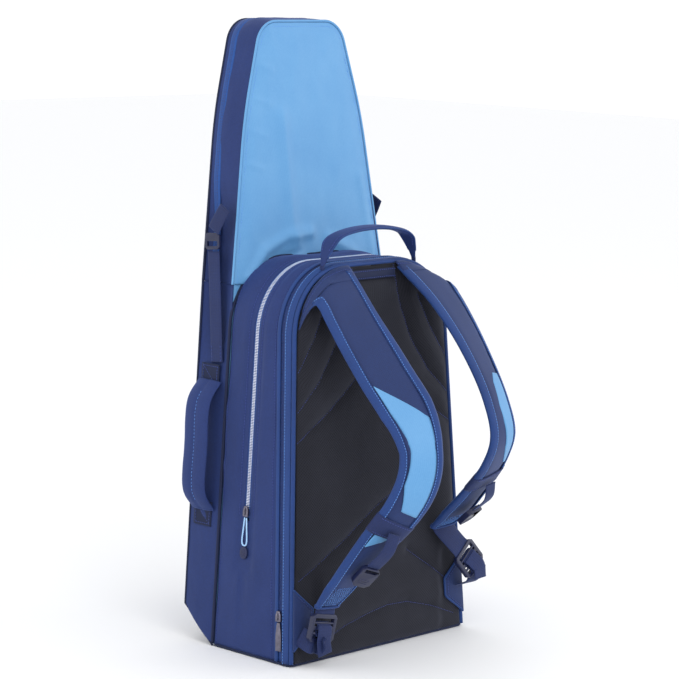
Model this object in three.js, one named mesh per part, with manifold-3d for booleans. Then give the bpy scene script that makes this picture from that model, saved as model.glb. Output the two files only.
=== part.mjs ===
// Racket backpack, standing on its base. Millimetres, +Z up.
// Origin: centre of the flat base. -Y is the wearer's side, +Y the racket sleeve's side, X the width.
import * as THREE from "three";
import { mergeVertices } from "three/addons/utils/BufferGeometryUtils.js";
import Module from "manifold-3d";

const wasm = await Module();
wasm.setup();

// ---- Driving dimensions: the main body
const BODY_W_BOTTOM = 306;
const BODY_W_TOP = 258;
const BODY_H = 470;
const BODY_CORNER_R = 84;
const DEPTH_BOTTOM = 134;
const DEPTH_TOP = 102;
// ---- The racket sleeve in front of it
const SLEEVE_DEPTH = 52;
const SLEEVE_H = 440;
const SLEEVE_CHAMFER_H = 43;
// ---- The hood that covers the racket heads
const HOOD_KNEE_H = 198; // height above the hood's foot where its sides lean in more
const HOOD_H = 314;
const HOOD_W_KNEE = 202;
const HOOD_W_TOP = 136;
const HOOD_LEAN = 0.08;
const HOOD_KNEE_R = 600;
const HOOD_CORNER_R = 34;
const HOOD_CLEARANCE = 0.6;
// ---- Fabric walls, seams and zippers
const WALL = 3;
const GAP = 0.4;
const BASE_T = 3;
const PIPING_R = 2.2;
const REAR_GUSSET_DEPTH = 10.5;
const ZIPPER_TAPE_W = 9;
const ZIPPER_TAPE_T = 1.6;
const ZIPPER_TEETH_W = 5;
const ZIPPER_TEETH_T = 2.8;
const MAIN_ZIPPER_Y = 20;
const MAIN_ZIPPER_LOW_Z = 166;
const COVER_T = 3;
const FOAM_T = 7;
const FRAME_SHEET_T = 2;
// ---- Front pockets
const POCKET_T = 8;
const UPPER_POCKET_LOW_Z = 172;
const UPPER_POCKET_H = 112;
const LOWER_POCKET_LOW_Z = 56;
const LOWER_POCKET_H = 110;
const POCKET_ZIPPER_DROP = 12; // from the pocket's top edge to its slider
// ---- Shoulder straps
const PAD_W_TOP = 72;
const PAD_W_END = 52;
const PAD_T = 10;
const PAD_TWIST = { left: 34, right: 16 }; // degrees, inner edge away from the back
const STRAP_ROOT_DROP = 8; // below the body's top
const LOCK_TAPE_W = 34;
const LOCK_TAPE_T = 3;
const LOCK_W = 42;
const LOCK_L = 34;
const LOCK_T = 6;
const LOCK_BAR = 5;
const LOCK_CLEARANCE = 6; // the open pivot between the lower webbing and its ladder lock
const WEBBING_W = 25;
const WEBBING_T = 1.8;
const WING_HIGH_Z = 92;
const WING_LOW_Z = 20;
const WING_REACH = 32;
const WEBBING_STAND_OFF = 7; // of the lower webbing's root from the wing it is sewn to
// ---- Sternum strap
const KEEPER_W = 24;
const KEEPER_T = 2;
const KEEPER_CLEARANCE = 2.6; // over the pad's twist
const STERNUM_WEBBING_W = 18;
const BUCKLE_W = 25;
const BUCKLE_L = 32;
const BUCKLE_T = 7;
// ---- Handles
const GRAB_SPAN = 160;
const GRAB_RISE = 44;
const GRAB_FOOT_DROP = 2.5; // the feet stand on the arch's shoulders, below its top
const GRAB_W = 22;
const GRAB_T = 3;
const HANDLE_LOW_Z = 166;
const HANDLE_L = 156;
const HANDLE_W = 40;
const HANDLE_T = 7;
const HANDLE_STAND_OFF = 16; // finger gap under the side handle
// ---- Tie straps between the sleeve and the hood
const TIE_SEWN_Z = 345;
const TIE_TOP_Z = 478;
const TIE_W = 20;
const HOOK_L = 20;
const HOOK_T = 4;
const LOOP_TOP_RISE = 92; // above the hood's foot
// ---- Zipper sliders and pulls
const SLIDER_L = 13;
const SLIDER_W = 8.5;
const SLIDER_T = 3.5;
const REAR_SLIDER_Z = 58;
const PULL_PLAY = 1.2; // from a slider to what hangs on it, and from a tie strap to its hook
const CORD_R = 1;
const CORD_DROP = 34;
const CORD_SPREAD = 4;
const TAB_L = 15;
const TAB_W = 12;
const TAB_T = 3;
const PULLER_L = 34;
const PULLER_W = 9;
const PULLER_T = 2;

// ---- Measures that follow from them
const SIDE_SLOPE = (BODY_W_BOTTOM - BODY_W_TOP) / 2 / BODY_H;
const FRONT_Y = DEPTH_BOTTOM / 2;
const SLEEVE_FRONT_Y = FRONT_Y + SLEEVE_DEPTH;
const SLEEVE_INSIDE_Y = FRONT_Y + GAP;
const SHELL_LOW_Z = BASE_T + GAP;
const EDGE_INSET = WALL + GAP;
const COVER_INSET = 2 * PIPING_R + 2 * GAP;
const STRAP_ROOT_Z = BODY_H - STRAP_ROOT_DROP;
const HOOD_LOW_Z = SLEEVE_H + HOOD_CLEARANCE;
const CORNER_CENTRE_Z = BODY_H - BODY_CORNER_R;

const halfWidth = (z) => BODY_W_BOTTOM / 2 - SIDE_SLOPE * z;
const backY = (z) => -DEPTH_BOTTOM / 2 + ((DEPTH_BOTTOM - DEPTH_TOP) * z) / BODY_H;
const hoodBackY = (z) => SLEEVE_INSIDE_Y + HOOD_LEAN * (z - SLEEVE_H);
const hoodFrontY = (z) => SLEEVE_FRONT_Y + HOOD_LEAN * (z - SLEEVE_H);
const rearZipperY = (z) => backY(z) + PIPING_R + GAP + REAR_GUSSET_DEPTH + GAP + ZIPPER_TAPE_W / 2;
const chamferZ = (y) => (SLEEVE_CHAMFER_H * (y - FRONT_Y)) / SLEEVE_DEPTH;

// ---- Materials
const cloth = (color, roughness = 0.85) => new THREE.MeshStandardMaterial({ color, roughness, metalness: 0 });
const navy = cloth(0x35457f);
const deepNavy = cloth(0x1f2b58);
const skyBlue = cloth(0x6caee6, 0.55);
const binding = cloth(0x1c4a94);
const charcoal = cloth(0x34353f, 0.95);
const foam = cloth(0xd8d8d2, 1);
const zipperSilver = cloth(0xc8cde0, 0.4);
const cordBlue = cloth(0xa9cdf5, 0.7);
const plastic = cloth(0x18203f, 0.45);
const sheetPlastic = cloth(0xe6e6e2, 0.5);
const gunmetal = new THREE.MeshStandardMaterial({ color: 0x7a7684, roughness: 0.35, metalness: 0.9 });

const backpack = new THREE.Group();

function add(name, geometry, material) {
  const mesh = new THREE.Mesh(geometry, material);
  mesh.name = name;
  backpack.add(mesh);
  return mesh;
}

// ---- Solids

function extrude(points, depth, steps = 1, holes = []) {
  const shape = new THREE.Shape(points);
  for (const hole of holes) shape.holes.push(new THREE.Path(hole));
  return new THREE.ExtrudeGeometry(shape, { depth, steps, bevelEnabled: false, curveSegments: 8 });
}

// Moves every vertex of a geometry to the place that the function gives for it.
function warp(geometry, place) {
  const at = geometry.getAttribute("position");
  const point = new THREE.Vector3();
  for (let i = 0; i < at.count; i++) {
    place(point.fromBufferAttribute(at, i));
    at.setXYZ(i, point.x, point.y, point.z);
  }
  geometry.computeVertexNormals();
  return geometry;
}

// An outline in XZ given thickness in Y between two surfaces that depend on height.
function facing(points, nearY, farY, holes = []) {
  return warp(extrude(points, 1, 1, holes), (p) => {
    const [x, z, t] = [p.x, p.y, p.z];
    p.set(x, farY(z) + (nearY(z) - farY(z)) * t, z);
  });
}

// An outline in YZ run across the bag's width, keeping an inset from the slanted sides.
function across(points, inset) {
  return warp(extrude(points, 2), (p) => {
    const [y, z, t] = [p.x, p.y, p.z - 1];
    p.set(t * (halfWidth(z) - inset), y, z);
  });
}

// An outline in YZ made a side wall: sign -1 is the wearer's left, +1 the right.
function sideWall(points, sign, outset, thickness) {
  return warp(extrude(points, 1), (p) => {
    const [y, z, t] = [p.x, p.y, sign < 0 ? 1 - p.z : p.z];
    const reach = halfWidth(z) + outset - thickness * (1 - t);
    p.set(sign * reach, y, z);
  });
}

function solidFrom(geometry) {
  const bare = geometry.clone();
  bare.deleteAttribute("normal");
  bare.deleteAttribute("uv");
  const merged = mergeVertices(bare, 1e-4);
  const vertProperties = merged.getAttribute("position").array;
  const triVerts = new Uint32Array(merged.index.array);
  return new wasm.Manifold(new wasm.Mesh({ numProp: 3, vertProperties, triVerts }));
}

function geometryFrom(solid) {
  const { vertProperties, triVerts } = solid.getMesh();
  const geometry = new THREE.BufferGeometry();
  geometry.setAttribute("position", new THREE.BufferAttribute(vertProperties, 3));
  geometry.setIndex(new THREE.BufferAttribute(triVerts, 1));
  geometry.computeVertexNormals();
  return geometry;
}

// ---- Arched outlines: the right half's corners from the foot up, each with its fillet, mirrored to the left

// Where a line through a point with a direction meets another such line.
function crossing(p, u, q, v) {
  const k = ((q.x - p.x) * v.y - (q.y - p.y) * v.x) / (u.x * v.y - u.y * v.x);
  return new THREE.Vector2(p.x + u.x * k, p.y + u.y * k);
}

function archPoints(corners, inset, lowZ, arcSteps = 10) {
  const foot = corners[0];
  const nodes = corners.map((c) => new THREE.Vector2(c.x, c.z));
  nodes.push(new THREE.Vector2(0, corners[corners.length - 1].z));
  const lines = nodes.slice(1).map((end, i) => {
    const along = end.clone().sub(nodes[i]).normalize();
    const inward = new THREE.Vector2(-along.y, along.x);
    return { along, inward, from: nodes[i].clone().addScaledVector(inward, inset) };
  });
  const footLine = { from: new THREE.Vector2(foot.x, lowZ), along: new THREE.Vector2(1, 0) };
  const right = [crossing(lines[0].from, lines[0].along, footLine.from, footLine.along)];
  for (let i = 1; i < lines.length; i++) {
    const [a, b] = [lines[i - 1], lines[i]];
    const radius = corners[i].r - inset;
    const centre = crossing(
      a.from.clone().addScaledVector(a.inward, radius),
      a.along,
      b.from.clone().addScaledVector(b.inward, radius),
      b.along,
    );
    const start = Math.atan2(-a.inward.y, -a.inward.x);
    const end = Math.atan2(-b.inward.y, -b.inward.x);
    const steps = Math.max(3, Math.ceil((arcSteps * (end - start)) / (Math.PI / 2)));
    for (let k = 0; k <= steps; k++) {
      const angle = start + ((end - start) * k) / steps;
      right.push(new THREE.Vector2(centre.x + radius * Math.cos(angle), centre.y + radius * Math.sin(angle)));
    }
  }
  const left = right.map((p) => new THREE.Vector2(-p.x, p.y)).reverse();
  return [...right, ...left];
}

// The band between two insets of an arch, open at the foot.
function archBand(corners, outer, inner, lowZ) {
  const inside = archPoints(corners, inner, lowZ).reverse();
  return [...archPoints(corners, outer, lowZ), ...inside];
}

const BODY_ARCH = [
  { x: BODY_W_BOTTOM / 2, z: 0 },
  { x: BODY_W_TOP / 2, z: BODY_H, r: BODY_CORNER_R },
];
const HOOD_ARCH = [
  { x: halfWidth(SLEEVE_H), z: SLEEVE_H },
  { x: HOOD_W_KNEE / 2, z: SLEEVE_H + HOOD_KNEE_H, r: HOOD_KNEE_R },
  { x: HOOD_W_TOP / 2, z: SLEEVE_H + HOOD_H, r: HOOD_CORNER_R },
];

// ---- Flat bands swept along a curve: straps, webbing and handles

// The section is width by thickness with cut corners; the curve's start is t = 0.
function sweep(curve, steps, { width, thickness, acrossRef, twist = () => 0 }) {
  const cut = 0.2;
  const section = [
    [-0.5 + cut / 4, -0.5], [0.5 - cut / 4, -0.5], [0.5, -0.5 + cut], [0.5, 0.5 - cut],
    [0.5 - cut / 4, 0.5], [-0.5 + cut / 4, 0.5], [-0.5, 0.5 - cut], [-0.5, -0.5 + cut],
  ].map(([x, y]) => new THREE.Vector2(x, y));
  return warp(extrude(section, 1, steps), (p) => {
    const t = Math.min(Math.max(p.z, 0), 1);
    const frame = frameAt(curve, t, acrossRef, twist(t));
    const [u, v] = [p.x * width(t), p.y * thickness(t)];
    p.copy(frame.at).addScaledVector(frame.wide, u).addScaledVector(frame.out, v);
  });
}

function frameAt(curve, t, acrossRef, twistDegrees = 0) {
  const at = curve.getPointAt(t);
  const along = curve.getTangentAt(t).normalize();
  const wide = acrossRef.clone().addScaledVector(along, -acrossRef.dot(along)).normalize();
  wide.applyAxisAngle(along, THREE.MathUtils.degToRad(twistDegrees));
  const out = along.clone().cross(wide);
  return { at, along, wide, out };
}

const curveThrough = (points) => new THREE.CatmullRomCurve3(points, false, "centripetal");
const lineThrough = (points) => new THREE.CatmullRomCurve3(points, false, "catmullrom", 0);
const vec = (x, y, z) => new THREE.Vector3(x, y, z);
const same = (value) => () => value;

// A piece modelled with X across, -Y onwards along the curve and Z out, put at a curve's frame.
function onFrame(geometry, frame, lift = 0) {
  const origin = frame.at.clone().addScaledVector(frame.out, lift);
  const up = frame.along.clone().negate();
  return geometry.applyMatrix4(new THREE.Matrix4().makeBasis(frame.wide, up, frame.out).setPosition(origin));
}

// A curve that keeps a lift from a swept band's middle surface, from one share of its line to another.
function liftedLine(line, twist, places) {
  return curveThrough(
    places.map(([t, lift]) => {
      const frame = frameAt(line, t, X_AXIS, twist(t));
      return frame.at.addScaledVector(frame.out, lift);
    }),
  );
}

function chamferedRectangle(width, length, cut) {
  const [a, b] = [width / 2, length / 2];
  return [
    [-a + cut, -b], [a - cut, -b], [a, -b + cut], [a, b - cut],
    [a - cut, b], [-a + cut, b], [-a, b - cut], [-a, -b + cut],
  ].map(([x, y]) => new THREE.Vector2(x, y));
}

function rectangleHole(x0, x1, y0, y1) {
  return [[x0, y0], [x0, y1], [x1, y1], [x1, y0]].map(([x, y]) => new THREE.Vector2(x, y));
}

const outlineOf = (pairs) => pairs.map(([x, y]) => new THREE.Vector2(x, y));
const SIDES = [["left", -1], ["right", 1]];

// ---- Main body

function addBase() {
  const outline = chamferedRectangle(BODY_W_BOTTOM, DEPTH_BOTTOM, 6);
  add("base_panel", extrude(outline, BASE_T), deepNavy);
}

function addBackPanel() {
  const outline = archPoints(BODY_ARCH, COVER_INSET, SHELL_LOW_Z);
  let depth = -PIPING_R;
  const layers = [
    ["back_cover", COVER_T, charcoal],
    ["back_foam", FOAM_T, foam],
    ["frame_sheet", FRAME_SHEET_T, sheetPlastic],
  ];
  for (const [name, thickness, material] of layers) {
    const from = depth;
    add(name, facing(outline, (z) => backY(z) + from, (z) => backY(z) + from + thickness), material);
    depth += thickness + GAP;
  }
}

function addPiping() {
  const path = archPoints(BODY_ARCH, PIPING_R, SHELL_LOW_Z).map((p) => vec(p.x, backY(p.y), p.y));
  const tube = circlePoints(PIPING_R - 0.2, 8);
  const curve = lineThrough(path);
  const geometry = new THREE.ExtrudeGeometry(new THREE.Shape(tube), {
    steps: 60,
    bevelEnabled: false,
    extrudePath: curve,
  });
  add("back_piping", geometry, binding);
}

function circlePoints(radius, sides) {
  return Array.from({ length: sides }, (_, i) => {
    const angle = (2 * Math.PI * i) / sides;
    return new THREE.Vector2(radius * Math.cos(angle), radius * Math.sin(angle));
  });
}

// A zipper strip along an arch: tape with a raised row of teeth on its middle.
function archZipper(corners, centreY, lowZ) {
  const inset = (WALL - ZIPPER_TAPE_T) / 2;
  const strip = (outer, inner, width) =>
    solidFrom(facing(archBand(corners, outer, inner, lowZ), (z) => centreY(z) - width / 2, (z) => centreY(z) + width / 2));
  const tape = strip(inset, inset + ZIPPER_TAPE_T, ZIPPER_TAPE_W);
  const tooth = (ZIPPER_TEETH_T - ZIPPER_TAPE_T) / 2;
  const teeth = strip(inset - tooth, inset + ZIPPER_TAPE_T + tooth, ZIPPER_TEETH_W);
  return geometryFrom(tape.add(teeth));
}

function addGussets() {
  const ring = archBand(BODY_ARCH, 0, WALL, SHELL_LOW_Z);
  const rearFrom = (z) => backY(z) + PIPING_R + GAP;
  add("rear_gusset", facing(ring, rearFrom, (z) => rearFrom(z) + REAR_GUSSET_DEPTH), binding);
  add("rear_zipper", archZipper(BODY_ARCH, rearZipperY, SHELL_LOW_Z), binding);
  const mainFrom = (z) => rearZipperY(z) + ZIPPER_TAPE_W / 2 + GAP;
  const shell = solidFrom(facing(ring, mainFrom, () => FRONT_Y));
  const slotHalf = ZIPPER_TAPE_W / 2 + GAP;
  const slotOutline = archBand(BODY_ARCH, -WALL, 2 * WALL, MAIN_ZIPPER_LOW_Z - GAP);
  const slot = solidFrom(
    facing(slotOutline, () => MAIN_ZIPPER_Y - slotHalf, () => MAIN_ZIPPER_Y + slotHalf),
  );
  add("main_gusset", geometryFrom(shell.subtract(slot)), navy);
  add("main_zipper", archZipper(BODY_ARCH, () => MAIN_ZIPPER_Y, MAIN_ZIPPER_LOW_Z), zipperSilver);
}

// ---- Racket sleeve

function addSleeve() {
  const innerY = SLEEVE_INSIDE_Y + WALL;
  const rearWall = outlineOf([
    [SLEEVE_INSIDE_Y, chamferZ(SLEEVE_INSIDE_Y) + 1],
    [innerY, chamferZ(innerY)],
    [innerY, SLEEVE_H],
    [SLEEVE_INSIDE_Y, SLEEVE_H],
  ]);
  add("sleeve_rear_wall", across(rearWall, EDGE_INSET), skyBlue);
  const floorFrom = innerY + GAP;
  const floor = outlineOf([
    [floorFrom, chamferZ(floorFrom)],
    [SLEEVE_FRONT_Y, SLEEVE_CHAMFER_H],
    [SLEEVE_FRONT_Y, SLEEVE_CHAMFER_H + WALL],
    [floorFrom, chamferZ(floorFrom) + WALL],
  ]);
  add("sleeve_floor", across(floor, EDGE_INSET), deepNavy);
  const frontLow = SLEEVE_CHAMFER_H + WALL + GAP;
  const front = outlineOf([
    [SLEEVE_FRONT_Y - WALL, frontLow],
    [SLEEVE_FRONT_Y, frontLow],
    [SLEEVE_FRONT_Y, SLEEVE_H],
    [SLEEVE_FRONT_Y - WALL, SLEEVE_H],
  ]);
  add("sleeve_front_panel", across(front, EDGE_INSET), navy);
  const side = outlineOf([
    [SLEEVE_INSIDE_Y, chamferZ(SLEEVE_INSIDE_Y)],
    [SLEEVE_FRONT_Y, SLEEVE_CHAMFER_H],
    [SLEEVE_FRONT_Y, SLEEVE_H],
    [SLEEVE_INSIDE_Y, SLEEVE_H],
  ]);
  for (const [word, sign] of SIDES) add("sleeve_gusset_" + word, sideWall(side, sign, 0, WALL), navy);
}

const POCKET_BACK_Y = SLEEVE_FRONT_Y + GAP;
const POCKET_FRONT_Y = POCKET_BACK_Y + POCKET_T;

function addPockets() {
  const pockets = [
    ["upper", UPPER_POCKET_LOW_Z, UPPER_POCKET_H],
    ["lower", LOWER_POCKET_LOW_Z, LOWER_POCKET_H],
  ];
  for (const [word, lowZ, height] of pockets) {
    const slant = POCKET_T;
    const outline = outlineOf([
      [POCKET_BACK_Y, lowZ],
      [POCKET_FRONT_Y, lowZ + slant],
      [POCKET_FRONT_Y, lowZ + height - slant],
      [POCKET_BACK_Y, lowZ + height],
    ]);
    add("front_pocket_" + word, across(outline, EDGE_INSET), navy);
  }
}

// ---- Hood

function addHood() {
  const face = archPoints(HOOD_ARCH, EDGE_INSET, HOOD_LOW_Z);
  add("hood_back_panel", facing(face, hoodBackY, (z) => hoodBackY(z) + WALL), skyBlue);
  add("hood_front_panel", facing(face, (z) => hoodFrontY(z) - WALL, hoodFrontY), navy);
  add("hood_gusset", facing(archBand(HOOD_ARCH, 0, WALL, HOOD_LOW_Z), hoodBackY, hoodFrontY), navy);
}

// ---- Shoulder straps

// Points of a strap's middle line: drop from its root, stand-off from the back, distance from the centre plane.
const STRAP_LINES = {
  left: [
    [0, 8, 76], [50, 42, 76], [108, 89, 75], [165, 135, 74], [211, 149, 78],
    [250, 140, 86], [300, 103, 101], [350, 60, 112], [389, 29, 119],
  ],
  right: [
    [0, 8, 76], [40, 55, 76], [94, 100, 75], [150, 133, 74], [190, 141, 76],
    [225, 124, 80], [262, 90, 86], [297, 52, 93], [322, 20, 100],
  ],
};
// From the pad's end, the way its tape and ladder lock lie, and how long the tape is.
const LOCK_WAYS = {
  left: { way: vec(-0.2, 0.05, -0.98), tape: 8 },
  right: { way: vec(0.58, -0.22, -0.78), tape: 42 },
};
const KEEPER_PLACE = { left: 0.72, right: 0.74 };
const X_AXIS = vec(1, 0, 0);

function strapLine(word, sign) {
  return curveThrough(
    STRAP_LINES[word].map(([drop, off, x]) => {
      const z = STRAP_ROOT_Z - drop;
      return vec(sign * x, backY(z) - off, z);
    }),
  );
}

const padWidth = (t) => PAD_W_TOP + (PAD_W_END - PAD_W_TOP) * t;
const padTwist = (word, sign) => (t) => -sign * PAD_TWIST[word] * Math.sin(Math.PI * Math.min(t * 1.1, 1));

// The frame where a strap's tape ends and its ladder lock begins.
function lockFrame(word, sign) {
  const { way, tape } = LOCK_WAYS[word];
  const end = strapLine(word, sign).getPointAt(1);
  const far = end.clone().addScaledVector(way.clone().normalize(), tape + GAP);
  return frameAt(new THREE.LineCurve3(end, far), 1, X_AXIS);
}

function addStrap(word, sign) {
  const line = strapLine(word, sign);
  const shape = { width: padWidth, thickness: same(PAD_T), acrossRef: X_AXIS, twist: padTwist(word, sign) };
  const pad = solidFrom(sweep(line, 24, shape));
  const end = line.getPointAt(1);
  const inside = line.getPointAt(0.97);
  const along = LOCK_WAYS[word].way.clone().normalize();
  const tapeLine = curveThrough([inside, end, end.clone().addScaledVector(along, LOCK_WAYS[word].tape)]);
  const tapeShape = { width: same(LOCK_TAPE_W), thickness: same(LOCK_TAPE_T), acrossRef: X_AXIS };
  const tape = solidFrom(sweep(tapeLine, 8, tapeShape));
  add("strap_pad_" + word, geometryFrom(pad.add(tape)), navy);
}

function addLadderLock(word, sign) {
  const frame = lockFrame(word, sign);
  const inner = LOCK_W / 2 - LOCK_BAR;
  const windows = [
    rectangleHole(-inner, inner, -LOCK_L / 2 + LOCK_BAR, -LOCK_BAR / 2),
    rectangleHole(-inner, inner, LOCK_BAR / 2, LOCK_L / 2 - LOCK_BAR),
  ];
  const body = extrude(chamferedRectangle(LOCK_W, LOCK_L, 4), LOCK_T, 1, windows);
  body.translate(0, -LOCK_L / 2, -LOCK_T / 2);
  add("ladder_lock_" + word, onFrame(body, frame), plastic);
}

function addWing(word, sign) {
  const edge = halfWidth(WING_HIGH_Z) - 1;
  const tip = edge - WING_REACH;
  const middle = (WING_HIGH_Z + WING_LOW_Z) / 2;
  const corners = [
    [edge, WING_LOW_Z], [edge, WING_HIGH_Z], [tip, middle + 10], [tip, middle - 12],
  ].map(([x, z]) => new THREE.Vector2(sign * x, z));
  const front = (z) => backY(z) - PIPING_R - GAP;
  add("strap_wing_" + word, facing(corners, (z) => front(z) - WALL, front), navy);
}

// Webbing from the wing's face to just short of the ladder lock's lower bar.
function addLowerWebbing(word, sign) {
  const frame = lockFrame(word, sign);
  const lockEnd = frame.at.clone().addScaledVector(frame.along, LOCK_L).addScaledVector(frame.out, -LOCK_T - LOCK_CLEARANCE);
  const z = Math.min(lockEnd.z + 6, (WING_HIGH_Z + WING_LOW_Z) / 2);
  const wingFace = backY(z) - PIPING_R - GAP - WALL;
  const from = vec(sign * (halfWidth(z) - 8), wingFace - WEBBING_STAND_OFF, z);
  const middle = from.clone().lerp(lockEnd, 0.5).add(vec(sign * 2, -4, -4));
  const flat = lockEnd.clone().sub(from).cross(vec(0, 1, 0)).normalize();
  const shape = { width: same(WEBBING_W), thickness: same(WEBBING_T), acrossRef: flat };
  add("lower_webbing_" + word, sweep(curveThrough([from, middle, lockEnd]), 8, shape), binding);
}

// A keeper across the pad's outer face, with webbing that ends in its half of the sternum buckle.
function addSternum(word, sign) {
  const line = strapLine(word, sign);
  const place = KEEPER_PLACE[word];
  const twist = padTwist(word, sign);
  const onPad = PAD_T / 2 + KEEPER_CLEARANCE + KEEPER_T / 2;
  const share = KEEPER_W / line.getLength() / 2;
  const { wide } = frameAt(line, place, X_AXIS, twist(place));
  const keeperLine = liftedLine(line, twist, [[place - share, onPad], [place, onPad], [place + share, onPad]]);
  const keeperShape = { width: same(padWidth(place)), thickness: same(KEEPER_T), acrossRef: wide };
  add("sternum_keeper_" + word, sweep(keeperLine, 4, keeperShape), deepNavy);
  const low = onPad + KEEPER_T / 2 + GAP + WEBBING_T / 2 + 0.4;
  const hang = liftedLine(line, twist, [[place, low], [place + 0.04, low + 9], [place + 0.1, low + 6]]);
  const shape = { width: same(STERNUM_WEBBING_W), thickness: same(WEBBING_T), acrossRef: wide };
  add("sternum_webbing_" + word, sweep(hang, 8, shape), binding);
  const window = rectangleHole(-BUCKLE_W / 2 + 4, BUCKLE_W / 2 - 4, BUCKLE_L / 2 - 8, BUCKLE_L / 2 - 3);
  const body = extrude(chamferedRectangle(BUCKLE_W, BUCKLE_L, 5), BUCKLE_T, 1, [window]);
  body.translate(0, -BUCKLE_L / 2 - GAP, -BUCKLE_T / 2);
  add("sternum_buckle_" + word, onFrame(body, frameAt(hang, 1, wide)), plastic);
}

// ---- Handles and tie straps

function addYoke() {
  const half = STRAP_LINES.left[0][2] - PAD_W_TOP / 2 - WALL;
  const outline = outlineOf([
    [-half, STRAP_ROOT_Z - 12], [half, STRAP_ROOT_Z - 12], [half, STRAP_ROOT_Z], [-half, STRAP_ROOT_Z],
  ]);
  const front = (z) => backY(z) - PIPING_R - GAP;
  add("yoke_band", facing(outline, (z) => front(z) - WALL, front), navy);
}

const GRAB_ROOT = vec(0, backY(BODY_H) + 2, BODY_H - GRAB_FOOT_DROP);

function addGrabHandle() {
  const half = GRAB_SPAN / 2;
  const line = curveThrough(
    [[-half, 0], [-half + 6, 18], [-half + 18, 34], [0, GRAB_RISE], [half - 18, 34], [half - 6, 18], [half, 0]]
      .map(([x, rise]) => vec(x, GRAB_ROOT.y, GRAB_ROOT.z + rise)),
  );
  const narrow = 5;
  const width = (t) => Math.min(GRAB_W, narrow + (GRAB_W - narrow) * 7 * Math.min(t, 1 - t));
  const shape = { width, thickness: same(GRAB_T), acrossRef: vec(0, 1, 0) };
  add("grab_handle", sweep(line, 28, shape), navy);
}

function addSideHandle() {
  const y = (SLEEVE_INSIDE_Y + SLEEVE_FRONT_Y) / 2;
  const root = HANDLE_T / 2 + GAP;
  const line = curveThrough(
    [[0, 0], [0.14, 1], [0.5, 1.1], [0.86, 1], [1, 0]].map(([share, bulge]) => {
      const z = HANDLE_LOW_Z + HANDLE_L * share;
      return vec(-(halfWidth(z) + root + HANDLE_STAND_OFF * bulge), y, z);
    }),
  );
  const shape = { width: same(HANDLE_W), thickness: same(HANDLE_T), acrossRef: vec(0, 1, 0) };
  add("side_handle", sweep(line, 20, shape), navy);
}

function addTieStrap(word, sign) {
  const off = WEBBING_T / 2 + GAP;
  const at = (y, z, out = 0) => vec(sign * (halfWidth(Math.min(z, SLEEVE_H)) + off + out), y, z);
  const y = SLEEVE_INSIDE_Y + SLEEVE_DEPTH / 2;
  const top = Math.min(TIE_TOP_Z, SLEEVE_H + HOOD_KNEE_H);
  const line = curveThrough([at(y - 8, TIE_SEWN_Z), at(y, (TIE_SEWN_Z + top) / 2), at(y + 6, top)]);
  const shape = { width: same(TIE_W), thickness: same(WEBBING_T), acrossRef: vec(0, 1, 0) };
  add("tie_strap_" + word, sweep(line, 10, shape), navy);
  const end = frameAt(line, 1, vec(0, 1, 0));
  const slot = rectangleHole(-TIE_W / 2 + 1, TIE_W / 2 - 1, 0, HOOK_L / 2 - 4);
  const hook = extrude(chamferedRectangle(TIE_W + 4, HOOK_L, 3), HOOK_T, 1, [slot]);
  hook.translate(0, -HOOK_L / 2 - 2 * PULL_PLAY, -1);
  add("tie_hook_" + word, onFrame(hook, end, sign < 0 ? 0 : -2), plastic);
  const high = SLEEVE_H + LOOP_TOP_RISE;
  const low = top + HOOK_L + 6;
  const loop = curveThrough([at(y - 12, high), at(y - 4, (high + low) / 2, 2), at(y + 4, low, 3)]);
  add("hood_loop_" + word, sweep(loop, 8, shape), navy);
}

// ---- Zipper sliders and pulls

// A frame on a side of the bag: wide is +Y, along is up the side, out is away from the bag.
function sideFrame(sign, yAt, z, lift) {
  const place = (height) => vec(sign * (halfWidth(height) + lift), yAt(height), height);
  const [here, above] = [place(z), place(z + 1)];
  const along = above.clone().sub(here).normalize();
  const out = vec(0, 1, 0).cross(along).normalize().multiplyScalar(sign);
  return { at: here, along, wide: along.clone().cross(out), out };
}

const sliderOutline = () =>
  outlineOf([
    [-SLIDER_W / 2, -SLIDER_L / 2], [SLIDER_W / 2, -SLIDER_L / 2], [SLIDER_W / 2, 1],
    [SLIDER_W / 4, SLIDER_L / 2], [-SLIDER_W / 4, SLIDER_L / 2], [-SLIDER_W / 2, 1],
  ]);

// Puts a piece modelled in X across, Y along, Z out on a place given by those three directions.
function place(geometry, { at, wide, along, out }) {
  return geometry.applyMatrix4(new THREE.Matrix4().makeBasis(wide, along, out).setPosition(at));
}

function cordLoop() {
  const top = -SLIDER_L / 2 - PULL_PLAY;
  const middle = SLIDER_T / 2;
  const line = curveThrough(
    [[-1.5, 0], [-2.4, 0.3], [-CORD_SPREAD, 0.86], [-CORD_SPREAD * 0.7, 0.97], [0, 1],
      [CORD_SPREAD * 0.7, 0.97], [CORD_SPREAD, 0.86], [2.4, 0.3], [1.5, 0]]
      .map(([x, share]) => vec(x, top - CORD_DROP * share, middle)),
  );
  return new THREE.ExtrudeGeometry(new THREE.Shape(circlePoints(CORD_R, 8)), {
    steps: 28,
    bevelEnabled: false,
    extrudePath: line,
  });
}

function pullTab() {
  const tab = extrude(chamferedRectangle(TAB_W, TAB_L, 4), TAB_T);
  const down = SLIDER_L / 2 + PULL_PLAY + CORD_DROP + CORD_R + GAP + TAB_L / 2;
  return tab.translate(0, -down, (SLIDER_T - TAB_T) / 2);
}

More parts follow.
